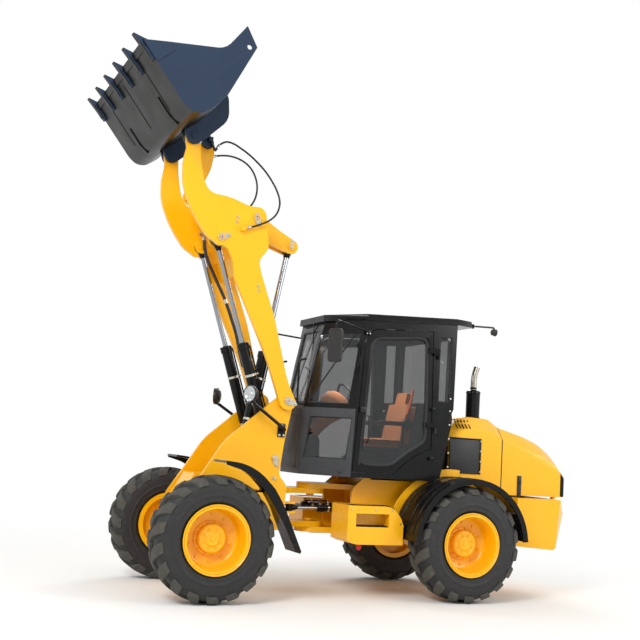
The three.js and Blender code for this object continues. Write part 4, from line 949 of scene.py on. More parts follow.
# ------------------------------------------------------------------ wheels
# Half section of the carcass, as (distance from the middle, radius), from the crown to the bead.
TYRE_SECTION = [(0, 610), (78, 608), (132, 600), (168, 584), (186, 556), (194, 520), (197, 470), (196, 425),
                (188, 392), (172, 368), (166, 352)]
CROWN_RADIUS = TYRE_SECTION[0][1]
# A lug's root lies in the carcass; its outer end trails its inner one by the sweep.
LUG_ROOT = -6
LUG_SWEEP = 128
LUG_TOP_HALF, LUG_FOOT_HALF = 38, 46
LUG_SPAN = (0.006, 0.506)
DISC_DEPTH = 58.0
HUB_FACE = 12.0


def section_point(share):
    """Place and outward normal on the tyre's half section, from the crown to the bead."""
    spans = [math.dist(a, b) for a, b in zip(TYRE_SECTION, TYRE_SECTION[1:])]
    left = share * sum(spans)
    for (a0, r0), (a1, r1), run in zip(TYRE_SECTION, TYRE_SECTION[1:], spans):
        if left <= run:
            t = left / run
            normal = Vector((r0 - r1, a1 - a0)).normalized()
            return Vector((a0 + (a1 - a0) * t, r0 + (r1 - r0) * t)), normal
        left -= run
    return Vector(TYRE_SECTION[-1]), Vector((1, 0))


def add_lug(bm, sign, start_angle, depth):
    """One tyre lug, from the middle of the tread over the shoulder."""
    grown = bmesh.ops.create_grid(bm, x_segments=10, y_segments=4, size=1.0)
    faces = list({face for vert in grown["verts"] for face in vert.link_faces})
    top = bmesh.ops.extrude_face_region(bm, geom=faces)["geom"]
    raised = {item for item in top if isinstance(item, bmesh.types.BMVert)}
    for vert in list(grown["verts"]) + list(raised):
        along, side = (vert.co.x + 1) / 2, vert.co.y
        high = vert in raised
        place, normal = section_point(LUG_SPAN[0] + along * (LUG_SPAN[1] - LUG_SPAN[0]))
        shoulder = max(0, along - 0.78) / 0.22
        lift = depth * (1 - 0.55 * shoulder) if high else LUG_ROOT
        tail = max(0, along - 0.72) / 0.28
        wide = (LUG_TOP_HALF if high else LUG_FOOT_HALF) * (1.0 + 0.75 * along - 0.35 * tail)
        spot = place + normal * lift
        angle = start_angle + (LUG_SWEEP * along ** 0.75 + side * wide) / CROWN_RADIUS
        vert.co = Vector((spot.y * math.cos(angle), sign * spot.x, spot.y * math.sin(angle)))


def add_tyre(bm, depth, lugs):
    """Carcass with side-wall rings, shoulder ribs and two rows of chevron lugs, about Y at the origin."""
    half = [(r, a) for a, r in TYRE_SECTION]
    name_band = [(452, 198), (446, 201), (438, 201), (432, 197)]
    bead_ring = [(386, 190), (380, 186)]
    outer = half[:7] + name_band + half[7:9] + bead_ring + half[9:]
    inner = [(322, 150), (322, -150)]
    mirrored = [(r, -a) for r, a in reversed(outer)][:-1]
    add_turned(bm, outer + inner + mirrored, (0, 0, 0), (0, 1, 0), 96)
    base = set(bm.faces)
    step = 2 * math.pi / lugs
    for i in range(lugs):
        add_lug(bm, 1, i * step, depth)
        add_lug(bm, -1, (i + 0.5) * step, depth)
    return [face for face in bm.faces if face not in base]


def add_rim(bm):
    """Rim with its lock-ring groove, dished disc and lightening step, about +Y at the origin."""
    profile = [
        (0, -84), (300, -84), (300, -186), (352, -190), (352, -178), (330, -174), (318, -150), (314, 120),
        (322, 150), (330, 168), (340, 172), (350, 180), (354, 187), (352, 192), (344, 192), (338, 186),
        (331, 181), (331, 187), (324, 190), (312, 188), (306, 172), (300, 140), (297, 30), (292, -20),
        (280, -40), (262, -52), (200, -DISC_DEPTH), (186, -DISC_DEPTH), (0, -DISC_DEPTH)]
    add_turned(bm, profile, (0, 0, 0), (0, 1, 0), 96)


def add_hub(bm):
    """Planetary hub: flange, drum, cover with two bolt circles and a raised centre."""
    profile = [
        (0, -14), (176, -14), (176, 2), (170, 6), (152, 8), (148, 14), (147, 62), (143, 70), (134, 74),
        (132, 78), (120, 80), (112, 80), (108, 76), (82, 76), (78, 82), (62, 88), (58, 88), (54, 84),
        (30, 84), (26, 90), (0, 90)]
    add_turned(bm, profile, (0, HUB_FACE - DISC_DEPTH, 0), (0, 1, 0), 64)


def add_hub_bolts(bm):
    """Bolts of the flange, of the hub's cover and of the disc, and the tyre valve."""
    for count, radius, height, size in ((12, 164, 4, 24), (8, 95, 76, 17), (10, 232, -12, 27)):
        for i in range(count):
            angle = 2 * math.pi * (i + 0.5) / count
            spot = (radius * math.cos(angle), height + HUB_FACE - DISC_DEPTH, radius * math.sin(angle))
            add_bolt(bm, spot, (0, 1, 0), size)
    add_tube(bm, [(276, 0, 0), (296, 70, 0), (304, 92, 0)], 5, bend=20, sides=10)
    add_rod(bm, (303, 90, 0), (307, 104, 0), 7, sides=12)


class LOADER_OT_wheels(bpy.types.Operator):
    """Builds the four lugged tyres, dished rims, planetary hubs and wheel nuts"""
    bl_idname = "loader.wheels"
    bl_label = "Wheels"

    def execute(self, context):
        depth, lugs = sizes().lug_depth / MM, sizes().lugs
        for end, x in (("front", FRONT_AXLE_X), ("rear", REAR_AXLE_X)):
            for side, sign in SIDES:
                label = f"{end}_{side}"
                turn = 0 if sign > 0 else math.pi
                spot = Matrix.Translation((x, sign * HALF_TRACK, AXLE_Z)) @ Matrix.Rotation(turn, 4, "Z")
                body = f"wheel_{label}"
                tyre = bmesh.new()
                for face in add_tyre(tyre, depth, lugs):
                    face.material_index = 1
                bmesh.ops.transform(tyre, matrix=spot, verts=tyre.verts)
                finish_piece(tyre, f"lugged_tyre_{label}", ["rubber", "tread"], body, (f"tyre_{label}",),
                             0.003)
                for part, shape, stands_for in (("dished_rim", add_rim, (f"rim_{label}",)),
                                                ("hub", add_hub, ()), ("wheel_nuts", add_hub_bolts, ())):
                    bm = bmesh.new()
                    shape(bm)
                    bmesh.ops.transform(bm, matrix=spot, verts=bm.verts)
                    finish_piece(bm, f"{part}_{label}", "yellow", body, stands_for)
        return {"FINISHED"}


# ------------------------------------------------------------------ cab
def pane_outline(node, outward):
    """Corners, in millimetres, and normal of a pane's largest face that looks outward."""
    bm = merged_copy(node)
    bmesh.ops.translate(bm, vec=-TO_MIDDLE, verts=bm.verts)
    bmesh.ops.scale(bm, vec=(1000, 1000, 1000), verts=bm.verts)
    outward = Vector(outward)
    faces = [face for face in bm.faces if face.normal.dot(outward) > 0.2]
    largest = max(faces, key=lambda face: face.calc_area())
    line = [vert.co.copy() for vert in largest.verts]
    normal = largest.normal.copy()
    bm.free()
    return line, normal


def add_gasket(bm, node, outward, radius=9.0, bend=26):
    """Rubber seal that runs round a pane."""
    line, normal = pane_outline(node, outward)
    centre = sum(line, Vector()) / len(line)
    pulled = [p + (centre - p).normalized() * 4 + normal * 3 for p in line]
    loop = pulled + [pulled[0], pulled[1]]
    add_tube(bm, loop, radius, bend=bend, sides=10)


class LOADER_OT_cab(bpy.types.Operator):
    """Dresses the cab: frame, roof, doors, glass, seals, handrails, wiper and moulded trim"""
    bl_idname = "loader.cab"
    bl_label = "Cab"

    def execute(self, context):
        skins("black", "rear", "cab_roof", edge=0.006)
        self.frame()
        for side, sign in SIDES:
            skins("black", f"door_{side}", f"door_{side}", edge=0.006)
            for node in ("side_glass", "corner_glass", "lower_glass", "door_glass"):
                glaze(f"{node}_{side}")
            self.seals(side, sign)
            self.door_furniture(side, sign)
            self.handrail(side, sign)
        glaze("windshield")
        glaze("rear_glass")
        self.wiper()
        self.roof_parts()
        return {"FINISHED"}

    def frame(self):
        """Cab frame in black, with its nose below the windscreen in grey moulded plastic."""
        piece = refined("cab_frame", ["black", "grey_plastic"], "rear", 0.006)
        for face in piece.data.polygons:
            if face.normal.x > 0.25 and face.center.z < NOSE_TOP_Z * MM:
                face.material_index = 1
        bm = bmesh.new()
        loop = ((300, 1380), (300, 1980), (-300, 1980), (-300, 1380), (300, 1380), (300, 1500))
        add_tube(bm, [(366, y, z) for y, z in loop], 7, bend=70, sides=8)
        finish_piece(bm, "nose_bead", "plastic", "rear", smooth=60)

    def seals(self, side, sign):
        """Seals of a side's fixed panes and of its door; the left side takes the front and rear panes too."""
        bm = bmesh.new()
        for node, outward in (("side_glass", (0, sign, 0)), ("corner_glass", (1, sign, 0)),
                              ("lower_glass", (1, sign, 0))):
            add_gasket(bm, f"{node}_{side}", outward)
        if sign > 0:
            add_gasket(bm, "windshield", (1, 0, 0))
            add_gasket(bm, "rear_glass", (-1, 0, 0))
        finish_piece(bm, f"window_seals_{side}", "seal", "rear", smooth=60)
        bm = bmesh.new()
        add_gasket(bm, f"door_glass_{side}", (0, sign, 0), 21, 110)
        finish_piece(bm, f"door_glass_seal_{side}", "seal", f"door_{side}", smooth=60)

    def door_furniture(self, side, sign):
        """Push-button latch with its recess, a pull bar and the three hinge leaves."""
        skin = sign * DOOR_SKIN_Y
        bm = bmesh.new()
        add_box(bm, (-262, skin - 2 * sign, 2030), (-196, skin + 12 * sign, 2090), 5)
        add_box(bm, (-256, skin + 10 * sign, 2046), (-214, skin + 26 * sign, 2074), 5)
        add_tube(bm, [(-290, skin, 1700), (-290, skin + 46 * sign, 1706), (-290, skin + 46 * sign, 1990),
                      (-290, skin, 1996)], 11, bend=40, sides=12)
        finish_piece(bm, f"door_latch_{side}", "plastic", f"door_{side}", edge=0.001)
        bm = bmesh.new()
        for z in (1560, 2120, 2760):
            add_box(bm, (-1146, skin - 3 * sign, z - 20), (-1096, skin + 5 * sign, z + 20), 2)
            for x in (-1132, -1110):
                add_bolt(bm, (x, skin + 4 * sign, z), (0, sign, 0), 11)
        finish_piece(bm, f"door_hinge_leaves_{side}", "black", f"door_{side}")

    def handrail(self, side, sign):
        """Handrail beside the windscreen, and the bolts of the rear post."""
        bm = bmesh.new()
        foot, top = Vector((356, sign * 300, 2085)), Vector((346, sign * 300, 2600))
        add_tube(bm, [foot - Vector((46, 0, 0)), foot + Vector((36, 0, 0)), top + Vector((50, 0, -20)),
                      top - Vector((36, 0, 0))], 12, bend=46, sides=14)
        finish_piece(bm, f"handrails_{side}", "black", "rear")
        spots = [(-1352, sign * CAB_HALF, z) for z in (1480, 1640, 1800, 1960, 2120, 2260)]
        bolt_set(f"rear_post_bolts_{side}", "rear", spots, (0, sign, 0), 17)

    def wiper(self):
        """Wiper with its pivot at the foot of the windscreen."""
        line, normal = pane_outline("windshield", (1, 0, 0))
        low = min(line, key=lambda p: p.z)
        base = Vector((low.x + 24, 0, low.z + 46))
        high = Vector((max(line, key=lambda p: p.z).x + 20, 70, low.z + 720))
        bm = bmesh.new()
        add_rod(bm, base - normal * 30, base + normal * 16, 17, sides=20)
        add_tube(bm, [base + normal * 10, base + (high - base) * 0.45 + normal * 22, high + normal * 8], 5,
                 bend=60, sides=8)
        add_box(bm, (high.x - 6, 62, low.z + 420), (high.x + 6, 72, low.z + 1000), 2)
        finish_piece(bm, "windshield_wiper", "plastic", "rear")

    def roof_parts(self):
        """Two small rear working lamps on arms from the roof's back edge."""
        low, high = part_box("cab_roof")
        back, top = (low.x - MIDDLE_X) / MM, high.z / MM
        bm, lens = bmesh.new(), bmesh.new()
        for sign in (1, -1):
            y = sign * 500
            add_tube(bm, [(back + 30, y, top - 52), (back - 290, y, top - 40), (back - 300, y, top - 60)],
                     11, bend=16, sides=12)
            add_box(bm, (back - 2, y - 26, top - 80), (back + 6, y + 26, top - 26), 3)
            add_rod(bm, (back - 270, y, top - 96), (back - 322, y, top - 100), 36, 44, sides=28)
            add_rod(lens, (back - 321, y, top - 100), (back - 325, y, top - 100.3), 39, 36, sides=28)
        finish_piece(bm, "rear_roof_lamps", "plastic", "rear", edge=0.002)
        finish_piece(lens, "rear_roof_lamp_lenses", "lens", "rear")


def glaze(node):
    """Gives a CAD pane the tinted glass."""
    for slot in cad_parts[node].material_slots:
        slot.material = MATERIALS["glass"]


# ------------------------------------------------------------------ seat and controls
BELLOWS_FOLDS = 7
STEERING_RIM_RADIUS = 200.0
ARM_REST_Y = 262
SIDE_PULL, CORNER_PULL = 0.045, 0.10
SEAM_DEPTH, SEAM_WIDTH = 11, 0.045


def cushion(name, low, high, crown, channels, lean=0.0, replaces=()):
    """A padded cushion: crowned towards +Z, pulled in at its sides, with sewn channels across X."""
    low, high = Vector(low), Vector(high)
    bm = bmesh.new()
    bmesh.ops.create_cube(bm, size=1.0)
    bmesh.ops.subdivide_edges(bm, edges=bm.edges[:], cuts=15, use_grid_fill=True)
    extent, centre = high - low, (low + high) / 2
    for vert in bm.verts:
        u, v, w = (2 * c for c in vert.co)
        round_corner = (abs(u) ** 5 + abs(v) ** 5) ** 0.2
        pull = 1 - SIDE_PULL * (1 - w * w) - CORNER_PULL * max(0, round_corner - 1.0)
        swell = crown * (1 - u * u) ** 0.5 * (1 - v * v) ** 0.5 if w > 0 else 0
        seam = sum(math.exp(-((u - c) / SEAM_WIDTH) ** 2) for c in channels) if w > 0.4 else 0
        spot = Vector((u * pull, v * pull, w)) * 0.5
        lift = swell - SEAM_DEPTH * seam
        vert.co = Vector((spot.x * extent.x, spot.y * extent.y, spot.z * extent.z + lift))
    place = Matrix.Translation(centre) @ Matrix.Rotation(lean, 4, "Y")
    bmesh.ops.transform(bm, matrix=place, verts=bm.verts)
    piece = finish_piece(bm, name, "seat", "rear", replaces, smooth=180)
    soft = piece.modifiers.new("soft", "SUBSURF")
    soft.levels = soft.render_levels = 1


class LOADER_OT_seat(bpy.types.Operator):
    """Builds the operator's seat, its padded cushions, armrests and suspension"""
    bl_idname = "loader.seat"
    bl_label = "Seat"

    def execute(self, context):
        deck, lean = DECK_Z, math.radians(-101)
        cushion("seat_cushion", (-980, -240, deck + 300), (-490, 240, deck + 392), 16, (-0.45, 0.1, 0.6),
                replaces=("seat",))
        cushion("seat_back", (-1300, -245, deck + 520), (-820, 245, deck + 640), 22, (-0.5, 0.0, 0.5), lean)
        cushion("head_rest", (-1190, -130, deck + 852), (-1040, 130, deck + 922), 10, (), lean)
        self.suspension(deck)
        bm = bmesh.new()
        bmesh.ops.create_uvsphere(bm, u_segments=24, v_segments=14, radius=24,
                                  matrix=Matrix.Translation((-716, 292, deck + 706)))
        finish_piece(bm, "lever_knob", "plastic", "rear", smooth=180)
        bm = bmesh.new()
        add_tube(bm, [(-1096, 262, deck + 990), (-1080, 264, deck + 880), (-1030, 268, deck + 700)], 14,
                 bend=40)
        finish_piece(bm, "belt_webbing", "belt", "rear", smooth=60)
        return {"FINISHED"}

    def suspension(self, deck):
        """Base plate, bellows, pan, arm rests with their hinges, and the lever on the left one."""
        bm = bmesh.new()
        add_box(bm, (-900, -180, deck + 1), (-600, 180, deck + 40), 6)
        for i in range(BELLOWS_FOLDS):
            z = deck + 44 + i * 26
            add_box(bm, (-892 + 6 * (i % 2), -172, z), (-608 - 6 * (i % 2), 172, z + 18), 7)
        add_box(bm, (-960, -215, deck + 236), (-520, 215, deck + 298), 12)
        for sign in (1, -1):
            y = sign * ARM_REST_Y
            add_box(bm, (-1010, y - 30, deck + 560), (-660, y + 30, deck + 612), 16)
            add_rod(bm, (-990, sign * 250, deck + 300), (-985, y, deck + 566), 15)
        add_tube(bm, [(-720, 292, deck + 600), (-716, 292, deck + 690)], 8, sides=10)
        for sign in (1, -1):
            add_rod(bm, (-1040, sign * 244, deck + 590), (-1040, sign * 296, deck + 590), 62, 54, sides=36)
        finish_piece(bm, "seat_suspension", "plastic", "rear")


class LOADER_OT_controls(bpy.types.Operator):
    """Builds the steering column, steering wheel, pedals and floor mat"""
    bl_idname = "loader.controls"
    bl_label = "Controls"

    def execute(self, context):
        self.column(DECK_Z)
        self.steering_wheel(DECK_Z)
        self.floor_and_pedals(DECK_Z)
        return {"FINISHED"}

    def column(self, deck):
        """Steering console with its padded cover."""
        bm = bmesh.new()
        outline = [(0, deck), (200, deck), (206, deck + 210), (150, deck + 392), (60, deck + 424),
                   (8, deck + 340)]
        add_side_plate(bm, outline, -132, 132)
        column = finish_piece(bm, "column_console", "grey_plastic", "rear", ("steering_console",), 0.022)
        column.modifiers["plate_edge"].segments = 4
        bm = bmesh.new()
        foot, top = Vector((60, 0, deck + 402)), Vector((-285, 0, deck + 872))
        add_turned(bm, [(0, 0), (72, 0), (76, 120), (108, 250), (158, 350), (176, 440), (160, 520),
                        (110, 566), (0, 572)], foot, top - foot, 48)
        finish_piece(bm, "column_cover", "seat", "rear", smooth=60)

    def steering_wheel(self, deck):
        """Three-spoke wheel with a knob."""
        axis = Vector((-0.90, 0, 0.44)).normalized()
        centre = Vector((-368, 0, deck + 824))
        bm = bmesh.new()
        grip = (2 * math.pi * i / 12 for i in range(12))
        rim = [(STEERING_RIM_RADIUS + 14 * math.cos(a), 13 * math.sin(a)) for a in grip]
        add_turned(bm, rim, centre, axis, 64)
        add_turned(bm, [(0, -120), (30, -120), (34, -22), (46, -6), (40, 8), (0, 12)], centre, axis, 32)
        side = axis.cross(Vector((0, 1, 0))).normalized()
        for turn in (90, 210, 330):
            spoke = Vector((0, math.cos(math.radians(turn)), 0)) + side * math.sin(math.radians(turn))
            add_tube(bm, [centre + spoke * 34, centre + spoke * 120 - axis * 8, centre + spoke * 196], 8,
                     bend=30)
        knob = centre + side * STEERING_RIM_RADIUS
        add_rod(bm, knob + axis * 8, knob + axis * 34, 9)
        add_rod(bm, knob + axis * 34, knob + axis * 66, 21, 18)
        finish_piece(bm, "steering_wheel", "plastic", "rear", smooth=50)

    def floor_and_pedals(self, deck):
        """Ribbed mat and two hanging pedals."""
        bm = bmesh.new()
        add_box(bm, (-1240, -630, deck - 1), (-16, 630, deck + 7), 2)
        for i in range(22):
            x = -560 + i * 24
            add_box(bm, (x, -600, deck + 6), (x + 10, 600, deck + 10))
        finish_piece(bm, "ribbed_floor_mat", "grey_plastic", "rear")
        bm = bmesh.new()
        for y in (-210, 210):
            add_tube(bm, [(150, y, deck + 120), (60, y, deck + 150), (-10, y, deck + 90)], 8, bend=30)
            add_box(bm, (-52, y - 46, deck + 72), (10, y + 46, deck + 86), 4)
        finish_piece(bm, "pedals", "plastic", "rear")


# ------------------------------------------------------------------ hood and exhaust
class LOADER_OT_engine_cover(bpy.types.Operator):
    """Adds louvres, side screens, latches, grille, rear lamps and a seal to the engine cover"""
    bl_idname = "loader.engine_cover"
    bl_label = "Engine cover"

    def execute(self, context):
        for side, sign in SIDES:
            self.side_screen(side, sign)
            self.louvres(side, sign)
            self.latch(side, sign)
            self.rear_lamp(side, sign)
        self.grille()
        self.seal()
        return {"FINISHED"}

    def side_screen(self, side, sign):
        """Perforated screen in the cowl's side, with its frame and bolts."""
        y = sign * COWL_HALF
        bm = bmesh.new()
        add_box(bm, (-1868, y - sign * 4, 1425), (-1462, y + sign * 5, 1812), 3)
        finish_piece(bm, f"side_screen_{side}", "mesh", "rear", edge=0.001)
        bm = bmesh.new()
        for low, high in (((-1882, 1412), (-1864, 1825)), ((-1466, 1412), (-1448, 1825)),
                          ((-1882, 1808), (-1448, 1826)), ((-1882, 1410), (-1448, 1428))):
            add_box(bm, (low[0], y - sign * 3, low[1]), (high[0], y + sign * 9, high[1]), 2)
        finish_piece(bm, f"screen_frame_{side}", "black", "rear")
        bolt_set(f"screen_bolts_{side}", "rear", [(-1873, y + sign * 8, z) for z in (1440, 1560, 1680, 1796)],
                 (0, sign, 0), 15)

    def louvres(self, side, sign):
        """Pressed louvres on the cowl's sloping shoulder: five short over five long."""
        low = Vector((0, sign * COWL_HALF, 1925))
        high = Vector((0, sign * 400, 2070))
        slope = (high - low).normalized()
        bm = bmesh.new()
        for row, (start, end) in enumerate(((20, 92), (128, 168))):
            for i in range(5):
                x = Vector((-1560 - i * 44 - row * 10, 0, 0))
                lean = Vector((-4 * row, 0, 0))
                add_rod(bm, low + slope * start + x, low + slope * end + x + lean, 8, sides=10)
        finish_piece(bm, f"louvres_{side}", "barrel", "rear", smooth=60)

    def latch(self, side, sign):
        """Plastic latch on the hood's side."""
        y = sign * COWL_HALF
        bm = bmesh.new()
        add_box(bm, (-2462, y - sign * 3, 1172), (-2408, y + sign * 12, 1420), 5)
        add_box(bm, (-2456, y + sign * 9, 1320), (-2414, y + sign * 24, 1404), 6)
        add_rod(bm, (-2435, y + sign * 10, 1215), (-2435, y + sign * 18, 1215), 14, sides=20)
        finish_piece(bm, f"hood_latch_{side}", "plastic", "hood", edge=0.001)

    def rear_lamp(self, side, sign):
        """Rear lamp housing with two round amber lenses."""
        bm, lens = bmesh.new(), bmesh.new()
        centre = Vector((HOOD_BACK_X - 3, sign * 420, 1290))
        add_box(bm, centre - Vector((4, 62, 46)), centre + Vector((18, 62, 46)), 8)
        for offset in (-30, 30):
            spot = centre + Vector((-3, offset, 0))
            add_rod(lens, spot, spot - Vector((10, 0, 0)), 25, 22, sides=28)
        finish_piece(bm, f"rear_lamp_housing_{side}", "plastic", "hood")
        finish_piece(lens, f"rear_lamp_lens_{side}", "amber", "hood")

    def grille(self):
        """Black rear grille with level bars, set on the hood's back."""
        bm = bmesh.new()
        x = HOOD_BACK_X
        add_box(bm, (x - 12, -330, 1215), (x + 4, 330, 1236), 3)
        add_box(bm, (x - 12, -330, 1498), (x + 4, 330, 1519), 3)
        for y in (-330, 309):
            add_box(bm, (x - 12, y, 1215), (x + 4, y + 21, 1519), 3)
        for i in range(13):
            z = 1252 + i * 19
            add_box(bm, (x - 9, -312, z), (x + 1, 312, z + 8), 1.5)
        add_box(bm, (x - 1, -318, 1228), (x + 2, 318, 1508))
        finish_piece(bm, "rear_grille", "black", "hood")
        self.end_frame()

    def end_frame(self):
        """Black moulded frame that closes the hood's back."""
        bm = bmesh.new()
        for x, top, half in ((-3034, 1626, 362), (-3088, 1562, 356)):
            for sign in (1, -1):
                for y, z in ((566, 1186), (566, top - 148), (half, top)):
                    bm.verts.new((x, sign * y, z))
        bmesh.ops.convex_hull(bm, input=bm.verts)
        finish_piece(bm, "hood_end_frame", "black", "hood", edge=0.014)

    def seal(self):
        """Rubber seal in the joint between the cowl and the hood."""
        bm = bmesh.new()
        x = -2180
        half = ((556, 1190), (556, 1826), (428, 1974))
        line = [(x, y, z) for y, z in half] + [(x, -y, z) for y, z in reversed(half)]
        add_tube(bm, line, 7, bend=20, sides=8)
        finish_piece(bm, "hood_seal", "seal", "rear", smooth=60)


class LOADER_OT_exhaust(bpy.types.Operator):
    """Builds the silencer, the stainless outlet elbow and its clamp"""
    bl_idname = "loader.exhaust"
    bl_label = "Exhaust"

    def execute(self, context):
        x, y, upright = EXHAUST_X, EXHAUST_Y, (0, 0, 1)
        bm = bmesh.new()
        add_turned(bm, [(0, 1), (98, 1), (98, 14), (84, 18), (85, 300), (89, 304), (89, 322), (80, 336),
                        (52, 344), (42, 352), (0, 352)], (x, y, 2075), upright, 48)
        finish_piece(bm, "silencer", "barrel", "rear", ("exhaust",))
        bm = bmesh.new()
        tube = bent([(x, y, 2415), (x, y, 2590), (x - 38, y, 2704)], 90, 8)
        add_tube(bm, tube, 37, sides=28)
        end = tube[-1]
        along = (end - tube[-2]).normalized()
        add_rod(bm, end - along * 14, end + along * 1.0, 39, sides=28)
        finish_piece(bm, "outlet_elbow", "stainless", "rear", smooth=50)
        bm = bmesh.new()
        add_rod(bm, end + along * 0.5, end + along * 2.5, 33, sides=28)
        clamp_band(bm, (x, y, 2446), upright, 38, 22)
        add_bolt(bm, (x, y + 42, 2446), (1, 0, 0), 12)
        finish_piece(bm, "outlet_clamp", "barrel", "rear")
        return {"FINISHED"}


# ------------------------------------------------------------------ fenders and steps
class LOADER_OT_fenders(bpy.types.Operator):
    """Dresses the fenders, and adds their ridges and the wheel-arch panels"""
    bl_idname = "loader.fenders"
    bl_label = "Fenders"

    def execute(self, context):
        for side, sign in SIDES:
            skins("black", "front", f"front_fender_{side}", edge=0.006)
            skins("black", "rear", f"rear_fender_{side}", edge=0.006)
            self.ridges(side, sign)
            self.arch_panel(side, sign)
        return {"FINISHED"}

    def ridges(self, side, sign):
        """Three pressed ridges that follow the rear fender."""
        bm = bmesh.new()
        for y in (700, 905, 1040):
            line = [across(p, sign * y) for p in arc((REAR_AXLE_X, AXLE_Z), 726, 8, 170, 40)]
            add_tube(bm, line, 8, sides=8)
        finish_piece(bm, f"fender_ridges_{side}", "black", "rear", smooth=60)

    def arch_panel(self, side, sign):
        """Yellow inner panel that follows the wheel arch under the cab."""
        bm = bmesh.new()
        centre = (REAR_AXLE_X, AXLE_Z)
        outline = arc(centre, 730, 98, 20, 18) + arc(centre, 812, 26, 98, 18)
        add_side_plate(bm, outline, sign * 566, sign * 588)
        finish_piece(bm, f"arch_panel_{side}", "yellow", "rear", edge=0.003)


class LOADER_OT_steps(bpy.types.Operator):
    """Adds treads, bolts and reflectors to the step boxes, and the drain cap"""
    bl_idname = "loader.steps"
    bl_label = "Steps"

    def execute(self, context):
        for side, sign in SIDES:
            face = sign * STEP_FACE_Y
            spots = ((-100, 975), (-186, 975), (-394, 975), (-591, 975), (-700, 830))
            bolt_set(f"step_bolts_{side}", "rear", [(x, face - sign, z) for x, z in spots], (0, sign, 0), 16)
            bm = bmesh.new()
            add_box(bm, (-546, face - sign * 156, 792), (-174, face - sign * 6, 797))
            for i in range(15):
                x = -540 + i * 25
                add_box(bm, (x, face - sign * 152, 796), (x + 9, face - sign * 8, 804), 1)
            for i in range(16):
                x = -580 + i * 30
                add_box(bm, (x, face - sign * 190, 1014), (x + 10, face - sign * 18, 1021), 1.5)
            finish_piece(bm, f"step_treads_{side}", "black", "rear")
            bm = bmesh.new()
            add_rod(bm, (-735, face - sign * 34, 800), (-744, face - sign * 34, 800), 30, sides=24)
            finish_piece(bm, f"step_reflector_{side}", "reflector", "rear")
        self.drain_cap()
        return {"FINISHED"}

    def drain_cap(self):
        """Red cap on the drain under the left step."""
        x, y = -326, 600
        bm = bmesh.new()
        add_rod(bm, (x, y, 604), (x, y, 572), 16, sides=16)
        cap = [(0, -46), (20, -40), (30, -18), (30, 6), (22, 14), (0, 14)]
        add_turned(bm, cap, (x, y, 560), (0, 0, 1), 24)
        finish_piece(bm, "drain_cap", "red", "rear")


# ------------------------------------------------------------------ lamps and mirrors
LAMP_SPOT = (1045, 600, 2140)
LAMP_FOOT_X = 605
LAMP_REFLECTOR = [(0, 30), (15, 30), (18, 8), (40, 2), (64, 14), (81, 30), (83, 30), (83, 20), (0, -8)]
LAMP_LENS = [(0, 32), (82, 31), (82, 35), (58, 40), (0, 43)]
MIRROR_SPOT = (262, 965, 2717)
MIRROR_CLAMP_X = -244


class LOADER_OT_work_lamps(bpy.types.Operator):
    """Builds the front lamps with reflectors, lenses, tube brackets and bolts"""
    bl_idname = "loader.work_lamps"
    bl_label = "Work lamps"

    def execute(self, context):
        for side, sign in SIDES:
            x, y, z = LAMP_SPOT[0], sign * LAMP_SPOT[1], LAMP_SPOT[2]
            turned = Matrix.Translation((x, y, z)) @ Matrix.Rotation(sign * math.radians(26), 4, "Z")
            bm = bmesh.new()
            add_turned(bm, [(0, -46), (40, -46), (70, -34), (88, -4), (92, 24), (92, 36), (84, 36), (84, 18),
                            (0, -12)], (0, 0, 0), (1, 0, 0), 40)
            for height in (-86, 86):
                add_box(bm, (-16, -10, height - 8), (12, 10, height + 8), 3)
            bmesh.ops.transform(bm, matrix=turned, verts=bm.verts)
            finish_piece(bm, f"lamp_housing_{side}", "plastic", "front", (f"work_lamp_{side}",))
            for part, profile, finish in (("reflector", LAMP_REFLECTOR, "mirror"),
                                          ("lens", LAMP_LENS, "lens")):
                bm = bmesh.new()
                add_turned(bm, profile, (0, 0, 0), (1, 0, 0), 40)
                bmesh.ops.transform(bm, matrix=turned, verts=bm.verts)
                finish_piece(bm, f"lamp_{part}_{side}", finish, "front")
            self.bracket(side, sign, y)
        return {"FINISHED"}

    def bracket(self, side, sign, lamp_y):
        """Bent tube from a plate on the tower to the lamp's foot."""
        x = LAMP_FOOT_X
        bm = bmesh.new()
        add_tube(bm, [(x, sign * 418, 1780), (x, sign * 540, 1780), (1026, lamp_y, 2052)], 18, bend=50,
                 sides=16)
        add_box(bm, (x - 45, sign * (TOWER_OUTER_Y - 0.5), 1700), (x + 45, sign * 424, 1850), 8)
        add_box(bm, (1000, lamp_y - 34, 2040), (1066, lamp_y + 34, 2052), 3)
        finish_piece(bm, f"lamp_bracket_{side}", "black", "front")
        bm = bmesh.new()
        for bolt_x, z in ((x - 25, 1722), (x + 25, 1722), (x, 1828)):
            add_bolt(bm, (bolt_x, sign * 423, z), (0, sign, 0), 22)
        add_bolt(bm, (1030, lamp_y, 2038), (0, 0, -1), 16)
        finish_piece(bm, f"lamp_bolts_{side}", "plated", "front")


